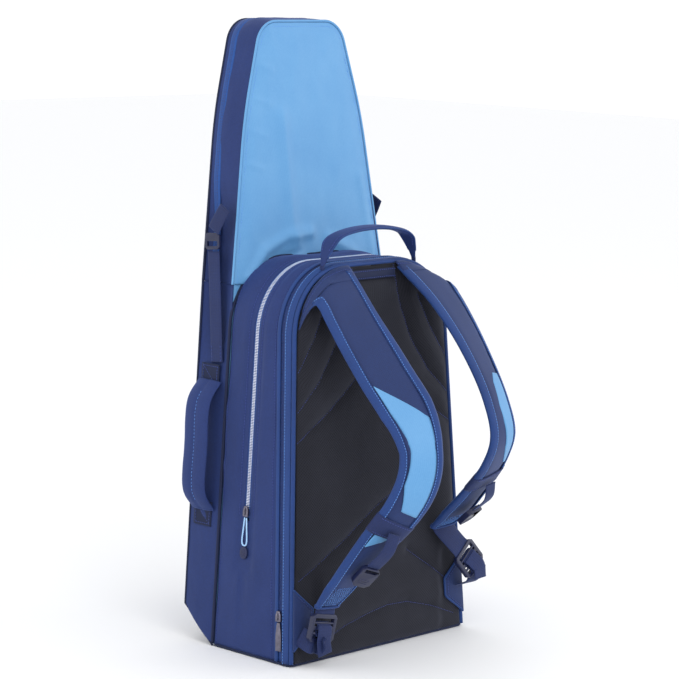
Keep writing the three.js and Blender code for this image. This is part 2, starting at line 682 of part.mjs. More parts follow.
function metalPuller() {
  const outline = outlineOf([
    [-PULLER_W / 4, 0], [PULLER_W / 4, 0], [PULLER_W / 2, -PULLER_L * 0.45],
    [PULLER_W / 2, -PULLER_L], [-PULLER_W / 2, -PULLER_L], [-PULLER_W / 2, -PULLER_L * 0.45],
  ]);
  const blade = extrude(outline.reverse(), PULLER_T);
  return blade.translate(0, -SLIDER_L / 2 - PULL_PLAY, (SLIDER_T - PULLER_T) / 2);
}

const TEETH_OUT = (ZIPPER_TEETH_T - WALL) / 2; // how far the teeth stand past the wall's outer face

function addSideSliders(word, sign) {
  const lift = Math.max(TEETH_OUT, 0) + GAP;
  const mainZ = MAIN_ZIPPER_LOW_Z + SLIDER_L / 2 + 1;
  const main = sideFrame(sign, () => MAIN_ZIPPER_Y, mainZ, lift);
  add("main_slider_" + word, place(extrude(sliderOutline(), SLIDER_T), main), gunmetal);
  add("main_pull_cord_" + word, place(cordLoop(), main), cordBlue);
  add("main_pull_tab_" + word, place(pullTab(), main), plastic);
  const rear = sideFrame(sign, rearZipperY, REAR_SLIDER_Z, lift);
  add("rear_slider_" + word, place(extrude(sliderOutline(), SLIDER_T), rear), gunmetal);
  add("rear_puller_" + word, place(metalPuller(), rear), gunmetal);
}

function addPocketSlider(word, topZ) {
  const z = topZ - POCKET_ZIPPER_DROP;
  const at = vec(-halfWidth(z) + EDGE_INSET + SLIDER_L, POCKET_FRONT_Y + GAP, z);
  const [left, up, front] = [vec(-1, 0, 0), vec(0, 0, 1), vec(0, 1, 0)];
  const slider = extrude(sliderOutline(), SLIDER_T).rotateZ(-Math.PI / 2);
  const hanging = { at, wide: left, along: up, out: front };
  add("pocket_slider_" + word, place(slider, hanging), gunmetal);
  const lowered = { at: at.clone().add(vec(0, 0, (SLIDER_L - SLIDER_W) / 2)), wide: left, along: up, out: front };
  add("pocket_pull_cord_" + word, place(cordLoop(), lowered), cordBlue);
  add("pocket_pull_tab_" + word, place(pullTab(), lowered), plastic);
}

// ---- Assembly

addBase();
addBackPanel();
addPiping();
addGussets();
addSleeve();
addPockets();
addHood();
addYoke();
addGrabHandle();
addSideHandle();
for (const [word, sign] of SIDES) {
  addStrap(word, sign);
  addLadderLock(word, sign);
  addWing(word, sign);
  addLowerWebbing(word, sign);
  addSternum(word, sign);
  addTieStrap(word, sign);
  addSideSliders(word, sign);
}
addPocketSlider("upper", UPPER_POCKET_LOW_Z + UPPER_POCKET_H);
addPocketSlider("lower", LOWER_POCKET_LOW_Z + LOWER_POCKET_H);

export default backpack;
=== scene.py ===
"""Racket backpack: the fabrics, seams, zips and fittings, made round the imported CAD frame.

Work is in millimetres and is turned to metres where a mesh is made. -Y is the wearer's side.
"""

import math

import bmesh
import bpy
import numpy as np
from mathutils import Matrix, Vector, noise
from mathutils.kdtree import KDTree


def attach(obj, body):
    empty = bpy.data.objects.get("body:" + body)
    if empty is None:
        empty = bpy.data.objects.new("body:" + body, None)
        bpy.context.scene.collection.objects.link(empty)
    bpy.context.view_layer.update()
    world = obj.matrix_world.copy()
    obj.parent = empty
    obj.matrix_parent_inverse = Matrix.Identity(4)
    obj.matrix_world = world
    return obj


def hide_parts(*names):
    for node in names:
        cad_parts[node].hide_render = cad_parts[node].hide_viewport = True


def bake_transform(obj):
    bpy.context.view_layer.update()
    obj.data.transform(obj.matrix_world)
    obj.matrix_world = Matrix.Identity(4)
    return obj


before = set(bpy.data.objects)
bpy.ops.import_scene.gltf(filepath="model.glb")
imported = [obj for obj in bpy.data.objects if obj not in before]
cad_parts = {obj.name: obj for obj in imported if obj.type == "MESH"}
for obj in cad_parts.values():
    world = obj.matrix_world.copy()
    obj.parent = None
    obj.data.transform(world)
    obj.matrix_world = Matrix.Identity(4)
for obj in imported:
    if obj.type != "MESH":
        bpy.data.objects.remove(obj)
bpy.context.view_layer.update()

# ---- Sizes shared with the CAD part, in millimetres
BODY_W_BOTTOM, BODY_W_TOP, BODY_H, BODY_CORNER_R = 306, 258, 470, 84
DEPTH_BOTTOM, DEPTH_TOP = 134, 102
SLEEVE_DEPTH, SLEEVE_H, SLEEVE_CHAMFER_H = 52, 440, 43
HOOD_KNEE_H, HOOD_H, HOOD_W_KNEE, HOOD_W_TOP = 198, 314, 202, 136
HOOD_LEAN, HOOD_KNEE_R, HOOD_CORNER_R = 0.08, 600, 34
WALL, GAP, BASE_T, PIPING_R = 3, 0.4, 3, 2.2
REAR_GUSSET_DEPTH, ZIPPER_TAPE_W, MAIN_ZIPPER_Y, MAIN_ZIPPER_LOW_Z = 10.5, 9, 20, 166
POCKET_T, POCKET_ZIPPER_DROP = 8, 12
POCKETS = {"upper": (172, 112), "lower": (56, 110)}
PAD_W_TOP, PAD_W_END, PAD_T, STRAP_ROOT_DROP = 72, 52, 10, 8
LOCK_L, LOCK_T = 34, 6
WEBBING_T = 1.8
SLIDER_L, SLIDER_T, PULL_PLAY = 13, 3.5, 1.2
CORD_R, CORD_DROP, CORD_SPREAD = 1, 34, 4
TAB_L = 15

SIDE_SLOPE = (BODY_W_BOTTOM - BODY_W_TOP) / 2 / BODY_H
FRONT_Y = DEPTH_BOTTOM / 2
SLEEVE_FRONT_Y = FRONT_Y + SLEEVE_DEPTH
SHELL_LOW_Z = BASE_T + GAP
STRAP_ROOT_Z = BODY_H - STRAP_ROOT_DROP
COVER_INSET = 2 * PIPING_R + 2 * GAP
HOOD_LOW_Z = SLEEVE_H + 0.6
SIDES = {"left": -1, "right": 1}

BODY_ARCH = [(BODY_W_BOTTOM / 2, 0, 0), (BODY_W_TOP / 2, BODY_H, BODY_CORNER_R)]


def half_width(z):
    return BODY_W_BOTTOM / 2 - SIDE_SLOPE * z


def back_y(z):
    return -DEPTH_BOTTOM / 2 + (DEPTH_BOTTOM - DEPTH_TOP) * z / BODY_H


def rear_zipper_y(z):
    return back_y(z) + PIPING_R + GAP + REAR_GUSSET_DEPTH + GAP + ZIPPER_TAPE_W / 2


def hood_back_y(z):
    return FRONT_Y + GAP + HOOD_LEAN * (z - SLEEVE_H)


def hood_front_y(z):
    return SLEEVE_FRONT_Y + HOOD_LEAN * (z - SLEEVE_H)


def chamfer_z(y):
    return SLEEVE_CHAMFER_H * (y - FRONT_Y) / SLEEVE_DEPTH


HOOD_ARCH = [
    (half_width(SLEEVE_H), SLEEVE_H, 0),
    (HOOD_W_KNEE / 2, SLEEVE_H + HOOD_KNEE_H, HOOD_KNEE_R),
    (HOOD_W_TOP / 2, SLEEVE_H + HOOD_H, HOOD_CORNER_R),
]


# ---- Materials


def linear(code):
    """An sRGB hex colour as linear red, green, blue and full alpha."""
    parts = [int(code[i : i + 2], 16) / 255 for i in (0, 2, 4)]
    return [c / 12.92 if c <= 0.04045 else ((c + 0.055) / 1.055) ** 2.4 for c in parts] + [1.0]


def add(tree, kind, inputs=(), **settings):
    """Adds a node: settings are its properties, inputs its sockets' values or the outputs that feed them."""
    made = tree.nodes.new(kind)
    for key, value in settings.items():
        setattr(made, key, value)
    for key, value in dict(inputs).items():
        if isinstance(value, bpy.types.NodeSocket):
            tree.links.new(value, made.inputs[key])
        else:
            made.inputs[key].default_value = value
    return made


def shader(name, **values):
    """A new material with its Principled shader's own sockets set."""
    made = bpy.data.materials.new(name)
    made.use_nodes = True
    surface = made.node_tree.nodes["Principled BSDF"]
    for key, value in values.items():
        surface.inputs[key.replace("_", " ")].default_value = value
    return made, made.node_tree, surface


MATH, NOISE = "ShaderNodeMath", "ShaderNodeTexNoise"


def wave_scale(period_mm):
    """The wave texture's Scale for a period in millimetres, on a vector in metres."""
    return math.pi / 10 / (period_mm / 1000)


def wired(tree, surface, shade, tones, relief, strength, depth_mm, stops=(0.3, 0.7), grain=None, invert=False):
    """Feeds a surface: its colour runs between two tones as shade goes between two stops, grain is its roughness."""
    ramp = add(tree, "ShaderNodeValToRGB", {"Fac": shade})
    for stop, position, code in zip(ramp.color_ramp.elements, stops, tones):
        stop.position, stop.color = position, linear(code)
    tree.links.new(ramp.outputs["Color"], surface.inputs["Base Color"])
    if grain is not None:
        tree.links.new(grain, surface.inputs["Roughness"])
    bump = add(tree, "ShaderNodeBump", {"Height": relief, "Strength": strength, "Distance": depth_mm / 1000},
               invert=invert)
    tree.links.new(bump.outputs["Normal"], surface.inputs["Normal"])


def woven(name, dark, light, thread=(1.5, 1.5), depth=0.12, rough=0.75, sheen=0.25, sheen_tint="9fb0e0",
          fleck=0.35, rib=False, specular=0.35):
    """A woven cloth on its piece's own UV map: threads both ways, flecks of yarn and slow shade changes."""
    made, tree, surface = shader(
        name, Sheen_Weight=sheen, Sheen_Roughness=0.45, Sheen_Tint=linear(sheen_tint), Specular_IOR_Level=specular,
    )
    uv = add(tree, "ShaderNodeUVMap", uv_map="UVMap").outputs["UV"]
    place = add(tree, "ShaderNodeTexCoord").outputs["Object"]
    warp, weft = [
        add(tree, "ShaderNodeTexWave", {"Vector": uv, "Scale": wave_scale(period), "Distortion": 0.0},
            bands_direction=axis, wave_profile="SIN").outputs["Fac"]
        for period, axis in zip(thread, "XY")
    ]
    yarn, slow = [
        add(tree, NOISE, {"Vector": place, "Scale": 1000 / size_mm, "Detail": 3.0, "Roughness": mix}).outputs["Fac"]
        for size_mm, mix in ((2.2, 0.65), (70, 0.55))
    ]
    if rib:
        height = add(tree, MATH, {0: warp, 1: 0.25, 2: weft}, operation="MULTIPLY_ADD").outputs[0]
    else:
        height = add(tree, MATH, {0: warp, 1: weft}, operation="MAXIMUM").outputs[0]
    drift = add(tree, MATH, {0: slow, 1: 0.35 * (1 - fleck), 2: 0.325 * (1 - fleck)}, operation="MULTIPLY_ADD")
    shade = add(tree, MATH, {0: yarn, 1: fleck, 2: drift.outputs[0]}, operation="MULTIPLY_ADD")
    shade = add(tree, MATH, {0: shade.outputs[0], 1: -0.06}, operation="ADD")
    # Raised threads are painted lighter and the gaps between them darker: painted shade in the weave.
    shade = add(tree, MATH, {0: height, 1: 0.10, 2: shade.outputs[0]}, operation="MULTIPLY_ADD")
    grain = add(tree, MATH, {0: yarn, 1: 0.16, 2: rough - 0.08}, operation="MULTIPLY_ADD")
    relief = add(tree, MATH, {0: yarn, 1: 0.5, 2: height}, operation="MULTIPLY_ADD")
    wired(tree, surface, shade.outputs[0], (dark, light), relief.outputs[0], 0.6, depth, grain=grain.outputs[0])
    return made


def solid(name, tones, cell_mm, detail, mix, worn, shift, stops, gloss, bump, **values):
    """Moulded or cast: uneven on the scale of cell_mm, with a painted highlight on sharp edges and painted shade in
    hollows.
    worn and gloss say how far the unevenness goes into colour and roughness, gloss also the lowest roughness, bump its
    strength and depth."""
    made, tree, surface = shader(name, **values)
    place = add(tree, "ShaderNodeTexCoord").outputs["Object"]
    uneven = add(
        tree, NOISE, {"Vector": place, "Scale": 1000 / cell_mm, "Detail": detail, "Roughness": mix}
    ).outputs["Fac"]
    # Pointiness lifts the colour on sharp edges and lowers it in hollows: painted highlight and painted shade.
    edge = add(tree, "ShaderNodeNewGeometry").outputs["Pointiness"]
    painted_edge_light_and_shade = add(tree, MATH, {0: edge, 1: shift}, operation="ADD")
    shade = add(tree, MATH, {0: uneven, 1: worn, 2: painted_edge_light_and_shade.outputs[0]}, operation="MULTIPLY_ADD")
    grain = add(tree, MATH, {0: uneven, 1: gloss[0], 2: gloss[1]}, operation="MULTIPLY_ADD")
    wired(tree, surface, shade.outputs[0], tones, uneven, *bump, stops, grain.outputs[0])
    return made


def moulded(name, colour, light, rough=0.42, texture_mm=0.9, coat=0.0):
    """Moulded plastic or rubber: a fine spark-eroded texture, slightly lighter edges as painted highlight and darker
    hollows as painted shade.
    """
    return solid(name, (colour, light), texture_mm, 2.0, 0.6, 0.25, -0.16, (0.4, 0.72), (0.2, rough - 0.1), (0.5, 0.03),
                 Coat_Weight=coat, Coat_Roughness=0.25, IOR=1.49)


def cast_metal(name, dark, light, rough):
    """Plated zinc casting: metallic, a little uneven in polish, brighter on edges as painted highlight and darker in
    hollows as painted shade.
    """
    return solid(name, (dark, light), 6, 3.0, 0.6, 0.3, -0.14, (0.4, 0.7), (0.25, rough - 0.12), (0.2, 0.05),
                 Metallic=1.0)


def air_mesh(name):
    """Spacer mesh: knitted polyester with rows of small open cells, matt, the cells painted nearly black as shade in
    their hollows.
    """
    made, tree, surface = shader(name, Sheen_Weight=0.3, Sheen_Roughness=0.5, Sheen_Tint=linear("8a8fa8"),
                                 Specular_IOR_Level=0.25, Roughness=0.9)
    uv = add(tree, "ShaderNodeUVMap", uv_map="UVMap").outputs["UV"]
    place = add(tree, "ShaderNodeTexCoord").outputs["Object"]
    turned = add(tree, "ShaderNodeMapping", {"Vector": uv, "Rotation": (0, 0, math.radians(45))}).outputs[0]
    rows, columns = [
        add(tree, "ShaderNodeTexWave", {"Vector": turned, "Scale": wave_scale(2.6), "Distortion": 0.0},
            bands_direction=axis, wave_profile="SIN").outputs["Fac"]
        for axis in "XY"
    ]
    cells = add(tree, MATH, {0: rows, 1: columns}, operation="MULTIPLY").outputs[0]
    slow = add(tree, NOISE, {"Vector": place, "Scale": 1000 / 55, "Detail": 3.0, "Roughness": 0.6}).outputs["Fac"]
    # The open cells are painted darker than the threads round them: painted shade in the hollows.
    threads = add(tree, MATH, {0: cells, 1: -0.35, 2: 0.5}, operation="MULTIPLY_ADD").outputs[0]
    shade = add(tree, MATH, {0: slow, 1: 0.25, 2: threads}, operation="MULTIPLY_ADD").outputs[0]
    wired(tree, surface, shade, ("101117", "292a33"), cells, 0.4, 0.2, invert=True)
    return made


# Polyester oxford cloth, plain woven and dyed: dull, with a faint heather. Its 0.7 mm threads are drawn at 1.5 mm.
navy = woven("oxford_polyester_navy", "13234f", "263a75", sheen_tint="7f9ae0")
# The same cloth in a deeper dye for linings, hems and the base.
deep_navy = woven("oxford_polyester_deep_navy", "0c1430", "172345", sheen=0.12, sheen_tint="7f9ae0")
# Satin-woven polyester: long floats make it smooth, brighter and streaked one way.
sky = woven("satin_polyester_sky_blue", "4a8ac2", "69a2d1", thread=(2.4, 1.2), depth=0.05, rough=0.5,
            sheen=0.2, sheen_tint="d4e8ff", fleck=0.2, specular=0.45)
# Grosgrain binding tape, ribbed across its length every 1.6 mm.
tape = woven("grosgrain_tape_royal_blue", "0c285c", "184083", thread=(9, 1.6), depth=0.15, rough=0.6,
             sheen=0.25, fleck=0.25, rib=True)
# Polyester webbing: a coarse plain weave that shows as ribs across the strap.
webbing = woven("polyester_webbing_navy", "0f1a40", "1f3064", thread=(3.2, 1.8), depth=0.3, rough=0.7,
                sheen=0.25, fleck=0.3, rib=True)
# Satin-finished strap cloth, a shade bluer than the body.
strap_cloth = woven("ripstop_strap_navy", "10204a", "203569", thread=(2.2, 2.2), depth=0.1, rough=0.68, sheen=0.3)
spacer_mesh = air_mesh("spacer_mesh_charcoal")
# Nylon coil teeth with a silver finish: bright, satin, slightly blue.
coil = cast_metal("plated_coil_silver", "b4b9cc", "eef1fa", 0.42)
# The same coil dyed navy on the rear zip.
dark_coil = moulded("nylon_coil_navy", "0e1a44", "1e2f6a", 0.45, 0.8)
zip_tape = woven("zip_tape_blue", "123672", "2457a4", thread=(1.6, 1.3), depth=0.1, rough=0.65, sheen=0.2, rib=True)
# Acetal mouldings: buckles, ladder locks, hooks. Smooth, faintly waxy gloss.
acetal = moulded("acetal_dark_navy", "0d1330", "232c58", 0.38, 0.8, coat=0.15)
rubber = moulded("rubber_pull_navy", "141b3c", "2a3362", 0.55, 1.1)
gunmetal = cast_metal("gunmetal_plated_zinc", "4d4a56", "8e8a98", 0.36)
# Twisted polyester cord: strands wind round it every 2.4 mm.
cord_braid = woven("polyester_cord_pale_blue", "7db4ec", "c2dffa", thread=(2.4, 2.4), depth=0.2, rough=0.6,
                   sheen=0.3, sheen_tint="e6f2ff")
# Bonded sewing thread, round and slightly shiny.
navy_thread = moulded("bonded_thread_navy", "1b2a66", "3a4fa0", 0.5, 0.6)
blue_thread = moulded("bonded_thread_blue", "3d74c8", "6fa4ea", 0.5, 0.6)


# ---- Meshes


def finished(obj, material, body, replaces=(), smooth=True):
    """Gives a piece its material, the CAD body it rides on and the CAD nodes it stands for."""
    obj.data.materials.clear()
    obj.data.materials.append(material)
    if smooth:
        obj.data.shade_smooth()
    if replaces:
        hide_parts(*replaces)
    if isinstance(body, str):
        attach(obj, body)
    else:
        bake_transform(obj)
    return obj


def object_from(name, points_mm, faces, uvs_mm=None):
    """A mesh object from points and faces; uvs_mm holds one pair for each corner of each face, in order."""
    mesh = bpy.data.meshes.new(name)
    mesh.from_pydata((np.asarray(points_mm, float) / 1000).tolist(), [], [list(map(int, f)) for f in faces])
    if uvs_mm is not None:
        layer = mesh.uv_layers.new(name="UVMap")
        layer.data.foreach_set("uv", (np.asarray(uvs_mm, float) / 1000).ravel())
    mesh.update()
    made = bpy.data.objects.new(name, mesh)
    bpy.context.scene.collection.objects.link(made)
    return made


def applied(obj, **kinds):
    """Adds the modifiers given as KIND=settings, applies them all, and leaves a plain mesh."""
    for kind, settings in kinds.items():
        modifier = obj.modifiers.new(kind, kind)
        for key, value in settings.items():
            setattr(modifier, key, value)
    graph = bpy.context.evaluated_depsgraph_get()
    mesh = bpy.data.meshes.new_from_object(obj.evaluated_get(graph), preserve_all_data_layers=True, depsgraph=graph)
    obj.modifiers.clear()
    obj.data = mesh
    return obj


def surface_normals(grid):
    """Unit normals of a grid of points, from the directions of its rows and columns."""
    du = np.gradient(grid, axis=0)
    dv = np.gradient(grid, axis=1)
    n = np.cross(du, dv)
    return n / np.maximum(np.linalg.norm(n, axis=2, keepdims=True), 1e-9)


def arc_lengths(grid, axis):
    steps = np.linalg.norm(np.diff(grid, axis=axis), axis=2)
    pad = np.zeros_like(np.take(steps, [0], axis=axis))
    return np.cumsum(np.concatenate([pad, steps], axis=axis), axis=axis)


def sheet_mesh(name, grid, thickness, keep=None):
    """A cloth with thickness from a grid of points. Its outer face is the side that row x column points to.
    keep, where given, says for each cell whether the cloth is there."""
    rows, columns = grid.shape[:2]
    n = surface_normals(grid)
    points = np.concatenate([grid.reshape(-1, 3), (grid - n * thickness).reshape(-1, 3)])
    index = np.arange(rows * columns).reshape(rows, columns)
    under = index + rows * columns
    keep = np.ones((rows - 1, columns - 1), bool) if keep is None else keep
    u = arc_lengths(grid, 1)
    v = arc_lengths(grid, 0)
    uv = np.stack([u, v], axis=2).reshape(-1, 2)
    uv = np.concatenate([uv, uv])
    faces = []
    for i in range(rows - 1):
        for j in range(columns - 1):
            if not keep[i, j]:
                continue
            a, b, c, d = index[i, j], index[i + 1, j], index[i + 1, j + 1], index[i, j + 1]
            faces.append((a, b, c, d))
            e, f, g, h = under[i, j], under[i, j + 1], under[i + 1, j + 1], under[i + 1, j]
            faces.append((e, f, g, h))
            if i == 0 or not keep[i - 1, j]:
                faces.append((a, d, f, e))
            if i == rows - 2 or not keep[i + 1, j]:
                faces.append((b, h, g, c))
            if j == 0 or not keep[i, j - 1]:
                faces.append((a, e, h, b))
            if j == columns - 2 or not keep[i, j + 1]:
                faces.append((d, c, g, f))
    made = object_from(name, points, faces, uv[np.concatenate([np.array(f) for f in faces])])
    remove_loose(made)
    return made


def remove_loose(obj):
    edit = bmesh.new()
    edit.from_mesh(obj.data)
    bmesh.ops.delete(edit, geom=[v for v in edit.verts if not v.link_faces], context="VERTS")
    edit.to_mesh(obj.data)
    edit.free()


def loft_mesh(name, sections):
    """A closed solid through rings of points, each the same number of points, with flat ends."""
    rings, count = sections.shape[:2]
    index = np.arange(rings * count).reshape(rings, count)
    looped = np.concatenate([sections, sections[:, :1]], axis=1)
    u = arc_lengths(looped, 1)
    v = arc_lengths(looped, 0)
    v[:] = v.mean(axis=1, keepdims=True)
    faces, uvs = [], []
    for i in range(rings - 1):
        for j in range(count):
            k = (j + 1) % count
            faces.append((index[i, j], index[i, k], index[i + 1, k], index[i + 1, j]))
            uvs += [(u[i, j], v[i, j]), (u[i, j + 1], v[i, j])]
            uvs += [(u[i + 1, j + 1], v[i + 1, j]), (u[i + 1, j], v[i + 1, j])]
    for ring, order in ((0, -1), (rings - 1, 1)):
        face = index[ring][::order]
        faces.append(tuple(face))
        uvs += [(u[ring, int(p) % count], v[ring, 0]) for p in face]
    made = object_from(name, sections.reshape(-1, 3), faces, uvs)
    edit = bmesh.new()
    edit.from_mesh(made.data)
    bmesh.ops.recalc_face_normals(edit, faces=edit.faces)
    edit.to_mesh(made.data)
    edit.free()
    return made


def tube_mesh(name, path, radius, sides=8):
    """A round cord along a path, its ring turned as little as possible from point to point."""
    path = np.asarray(path, float)
    along = np.gradient(path, axis=0)
    along /= np.linalg.norm(along, axis=1, keepdims=True)
    side = np.cross(along[0], [0.3, 0.5, 0.8])
    rings = []
    angle = np.arange(sides) * 2 * math.pi / sides
    radii = np.broadcast_to(radius, len(path))
    for p, t, r in zip(path, along, radii):
        side = side - t * side.dot(t)
        side /= np.linalg.norm(side)
        other = np.cross(t, side)
        rings.append(p + r * (np.cos(angle)[:, None] * side + np.sin(angle)[:, None] * other))
    return loft_mesh(name, np.array(rings))


# ---- Outlines and curves


def arch(corners, inset, low_z, step):
    """Points (x, z) at even steps along an arched outline, right foot to left foot, and their outward normals."""
    nodes = [np.array(c[:2], float) for c in corners] + [np.array([0, corners[-1][1]], float)]
    lines = []
    for a, b in zip(nodes, nodes[1:]):
        way = (b - a) / np.linalg.norm(b - a)
        lines.append((a + inset * np.array([-way[1], way[0]]), way))

    def meet(p, u, q, v):
        k = ((q[0] - p[0]) * v[1] - (q[1] - p[1]) * v[0]) / (u[0] * v[1] - u[1] * v[0])
        return p + u * k

    right = [meet(lines[0][0], lines[0][1], np.array([0, low_z]), np.array([1.0, 0]))]
    for (p, u), (q, v), corner in zip(lines, lines[1:], corners[1:]):
        radius = corner[2] - inset
        inward_u, inward_v = np.array([-u[1], u[0]]), np.array([-v[1], v[0]])
        centre = meet(p + inward_u * radius, u, q + inward_v * radius, v)
        start, end = math.atan2(-inward_u[1], -inward_u[0]), math.atan2(-inward_v[1], -inward_v[0])
        for k in range(33):
            angle = start + (end - start) * k / 32
            right.append(centre + radius * np.array([math.cos(angle), math.sin(angle)]))
    points = np.array(right + [p * [-1, 1] for p in right[::-1]])
    return evenly(points, step)


def evenly(points, step):
    """A polyline's points at even steps, and outward normals for an outline that runs right, over, left."""
    length = np.concatenate([[0], np.cumsum(np.linalg.norm(np.diff(points, axis=0), axis=1))])
    count = max(2, int(round(length[-1] / step)) + 1)
    at = np.linspace(0, length[-1], count)
    out = np.stack([np.interp(at, length, points[:, k]) for k in range(points.shape[1])], axis=1)
    along = np.gradient(out, axis=0)
    along /= np.linalg.norm(along, axis=1, keepdims=True)
    return out, np.stack([along[:, 1], -along[:, 0]], axis=1)


def smooth(a, b, x):
    t = np.clip((np.asarray(x, float) - a) / (b - a), 0, 1)
    return t * t * (3 - 2 * t)


def bump_at(x, centre, width):
    return np.exp(-(((np.asarray(x, float) - centre) / width) ** 2))


def crumple(points, size, seed, octaves=3):
    """Smooth noise from -1 to 1 at each point, with features of the given size in millimetres."""
    flat = points.reshape(-1, 3) / size
    shift = Vector((seed * 7.31, seed * 3.17, seed * 5.73))
    values = [noise.fractal(Vector(p) + shift, 1.0, 2.0, octaves) for p in flat]
    return np.array(values).reshape(points.shape[:-1])


class Curve:
    """The centripetal curve through some points, read by its share of arc length."""

    def __init__(self, points, steps=24):
        pts = np.asarray(points, float)
        ends = [2 * pts[0] - pts[1], *pts, 2 * pts[-1] - pts[-2]]
        dense = []
        for p0, p1, p2, p3 in zip(ends, ends[1:], ends[2:], ends[3:]):
            d = [max(np.linalg.norm(b - a) ** 0.5, 1e-4) for a, b in ((p0, p1), (p1, p2), (p2, p3))]
            m1 = ((p1 - p0) / d[0] - (p2 - p0) / (d[0] + d[1]) + (p2 - p1) / d[1]) * d[1]
            m2 = ((p2 - p1) / d[1] - (p3 - p1) / (d[1] + d[2]) + (p3 - p2) / d[2]) * d[1]
            for k in range(steps):
                t = k / steps
                dense.append(
                    p1 + m1 * t + (-3 * p1 + 3 * p2 - 2 * m1 - m2) * t**2 + (2 * p1 - 2 * p2 + m1 + m2) * t**3
                )
        self.points = np.array(dense + [pts[-1]])
        gaps = np.linalg.norm(np.diff(self.points, axis=0), axis=1)
        self.at = np.concatenate([[0], np.cumsum(gaps)])
        self.length = self.at[-1]

    def point(self, t):
        return np.array([np.interp(t * self.length, self.at, self.points[:, k]) for k in range(3)])

    def way(self, t):
        d = self.point(min(t + 0.004, 1)) - self.point(max(t - 0.004, 0))
        return d / np.linalg.norm(d)

    def frame(self, t, across, twist=0.0):
        """Its point, and the directions across, along and out of a band on it, turned by twist degrees."""
        along = self.way(t)
        wide = np.asarray(across, float) - along * np.dot(across, along)
        wide /= np.linalg.norm(wide)
        out = np.cross(along, wide)
        c, s = math.cos(math.radians(twist)), math.sin(math.radians(twist))
        wide, out = wide * c + out * s, out * c - wide * s
        return self.point(t), wide, along, out


# ---- Rows of stitches and teeth, made by one Geometry Nodes tree


def row_tree():
    """Beads of a set size at an even pitch along each path, turned to its tangent and its 'across' attribute."""
    tree = bpy.data.node_groups.new("beads_along_a_seam", "GeometryNodeTree")
    tree.interface.new_socket("Geometry", in_out="INPUT", socket_type="NodeSocketGeometry")
    for name, kind, value in (
        ("Pitch", "NodeSocketFloat", 0.004), ("Across", "NodeSocketFloat", 0.001), ("Thick", "NodeSocketFloat", 0.001),
        ("Long", "NodeSocketFloat", 0.003), ("Jitter", "NodeSocketFloat", 0.0), ("Seed", "NodeSocketInt", 1),
        ("Finish", "NodeSocketMaterial", None),
    ):
        socket = tree.interface.new_socket(name, in_out="INPUT", socket_type=kind)
        if value is not None:
            socket.default_value = value
    tree.interface.new_socket("Geometry", in_out="OUTPUT", socket_type="NodeSocketGeometry")
    given = add(tree, "NodeGroupInput").outputs
    line = add(tree, "GeometryNodeMeshToCurve", {"Mesh": given["Geometry"]}).outputs["Curve"]
    spaced = add(tree, "GeometryNodeResampleCurve", {"Curve": line, "Length": given["Pitch"]}, mode="LENGTH")
    tangent = add(tree, "GeometryNodeInputTangent").outputs[0]
    across = add(tree, "GeometryNodeInputNamedAttribute", {"Name": "across"}, data_type="FLOAT_VECTOR")
    first = add(tree, "FunctionNodeAlignRotationToVector", {"Vector": tangent}, axis="Z")
    turned = add(
        tree, "FunctionNodeAlignRotationToVector",
        {"Rotation": first.outputs[0], "Vector": across.outputs["Attribute"]}, axis="X", pivot_axis="Z",
    )
    bead = add(tree, "GeometryNodeMeshUVSphere", {"Segments": 6, "Rings": 4, "Radius": 0.5})
    size = add(
        tree, "ShaderNodeCombineXYZ", {"X": given["Across"], "Y": given["Thick"], "Z": given["Long"]}
    ).outputs[0]
    change = add(
        tree, "FunctionNodeRandomValue", {"Min": -1.0, "Max": 1.0, "Seed": given["Seed"]}, data_type="FLOAT",
    )
    change.inputs[2].default_value = -1.0
    change.inputs[3].default_value = 1.0
    factor = add(
        tree, "ShaderNodeMath", {0: change.outputs[1], 1: given["Jitter"], 2: 1.0}, operation="MULTIPLY_ADD"
    ).outputs[0]
    scaled = add(tree, "ShaderNodeVectorMath", {0: size, "Scale": factor}, operation="SCALE").outputs[0]
    placed = add(
        tree, "GeometryNodeInstanceOnPoints",
        {"Points": spaced.outputs["Curve"], "Instance": bead.outputs["Mesh"], "Rotation": turned.outputs[0],
         "Scale": scaled},
    )
    real = add(tree, "GeometryNodeRealizeInstances", {"Geometry": placed.outputs["Instances"]})
    shaded = add(tree, "GeometryNodeSetShadeSmooth", {"Geometry": real.outputs["Geometry"]})
    coated = add(tree, "GeometryNodeSetMaterial", {"Geometry": shaded.outputs["Geometry"], "Material": given["Finish"]})
    add(tree, "NodeGroupOutput", {"Geometry": coated.outputs["Geometry"]})
    return tree


ROW_TREE = row_tree()


def beads(name, paths, material, body, pitch, size, jitter=0.0, seed=1):
    """One mesh of beads along some paths, each a list of points and one 'across' direction or one per point."""
    points, edges, across = [], [], []
    for path, direction in paths:
        first = len(points)
        points += [list(p) for p in path]
        edges += [(first + k, first + k + 1) for k in range(len(path) - 1)]
        across += np.broadcast_to(np.asarray(direction, float), (len(path), 3)).tolist()
    mesh = bpy.data.meshes.new(name)
    mesh.from_pydata((np.array(points, float) / 1000).tolist(), edges, [])
    layer = mesh.attributes.new("across", "FLOAT_VECTOR", "POINT")
    layer.data.foreach_set("vector", np.array(across, np.float32).ravel())
    made = bpy.data.objects.new(name, mesh)
    bpy.context.scene.collection.objects.link(made)
    modifier = made.modifiers.new("row", "NODES")
    modifier.node_group = ROW_TREE
    values = {"Pitch": pitch / 1000, "Across": size[0] / 1000, "Thick": size[1] / 1000, "Long": size[2] / 1000,
              "Jitter": jitter, "Seed": seed, "Finish": material}
    for item in ROW_TREE.interface.items_tree:
        if item.in_out == "INPUT" and item.name in values:
            modifier[item.identifier] = values[item.name]
    applied(made)
    return finished(made, material, body)


def stitches(name, paths, body, thread=None, pitch=3.6, size=(0.8, 0.7, 2.8)):
    return beads(name, [(p, (0, 0, 1)) for p in paths], thread or navy_thread, body, pitch, size, 0.06, 3)
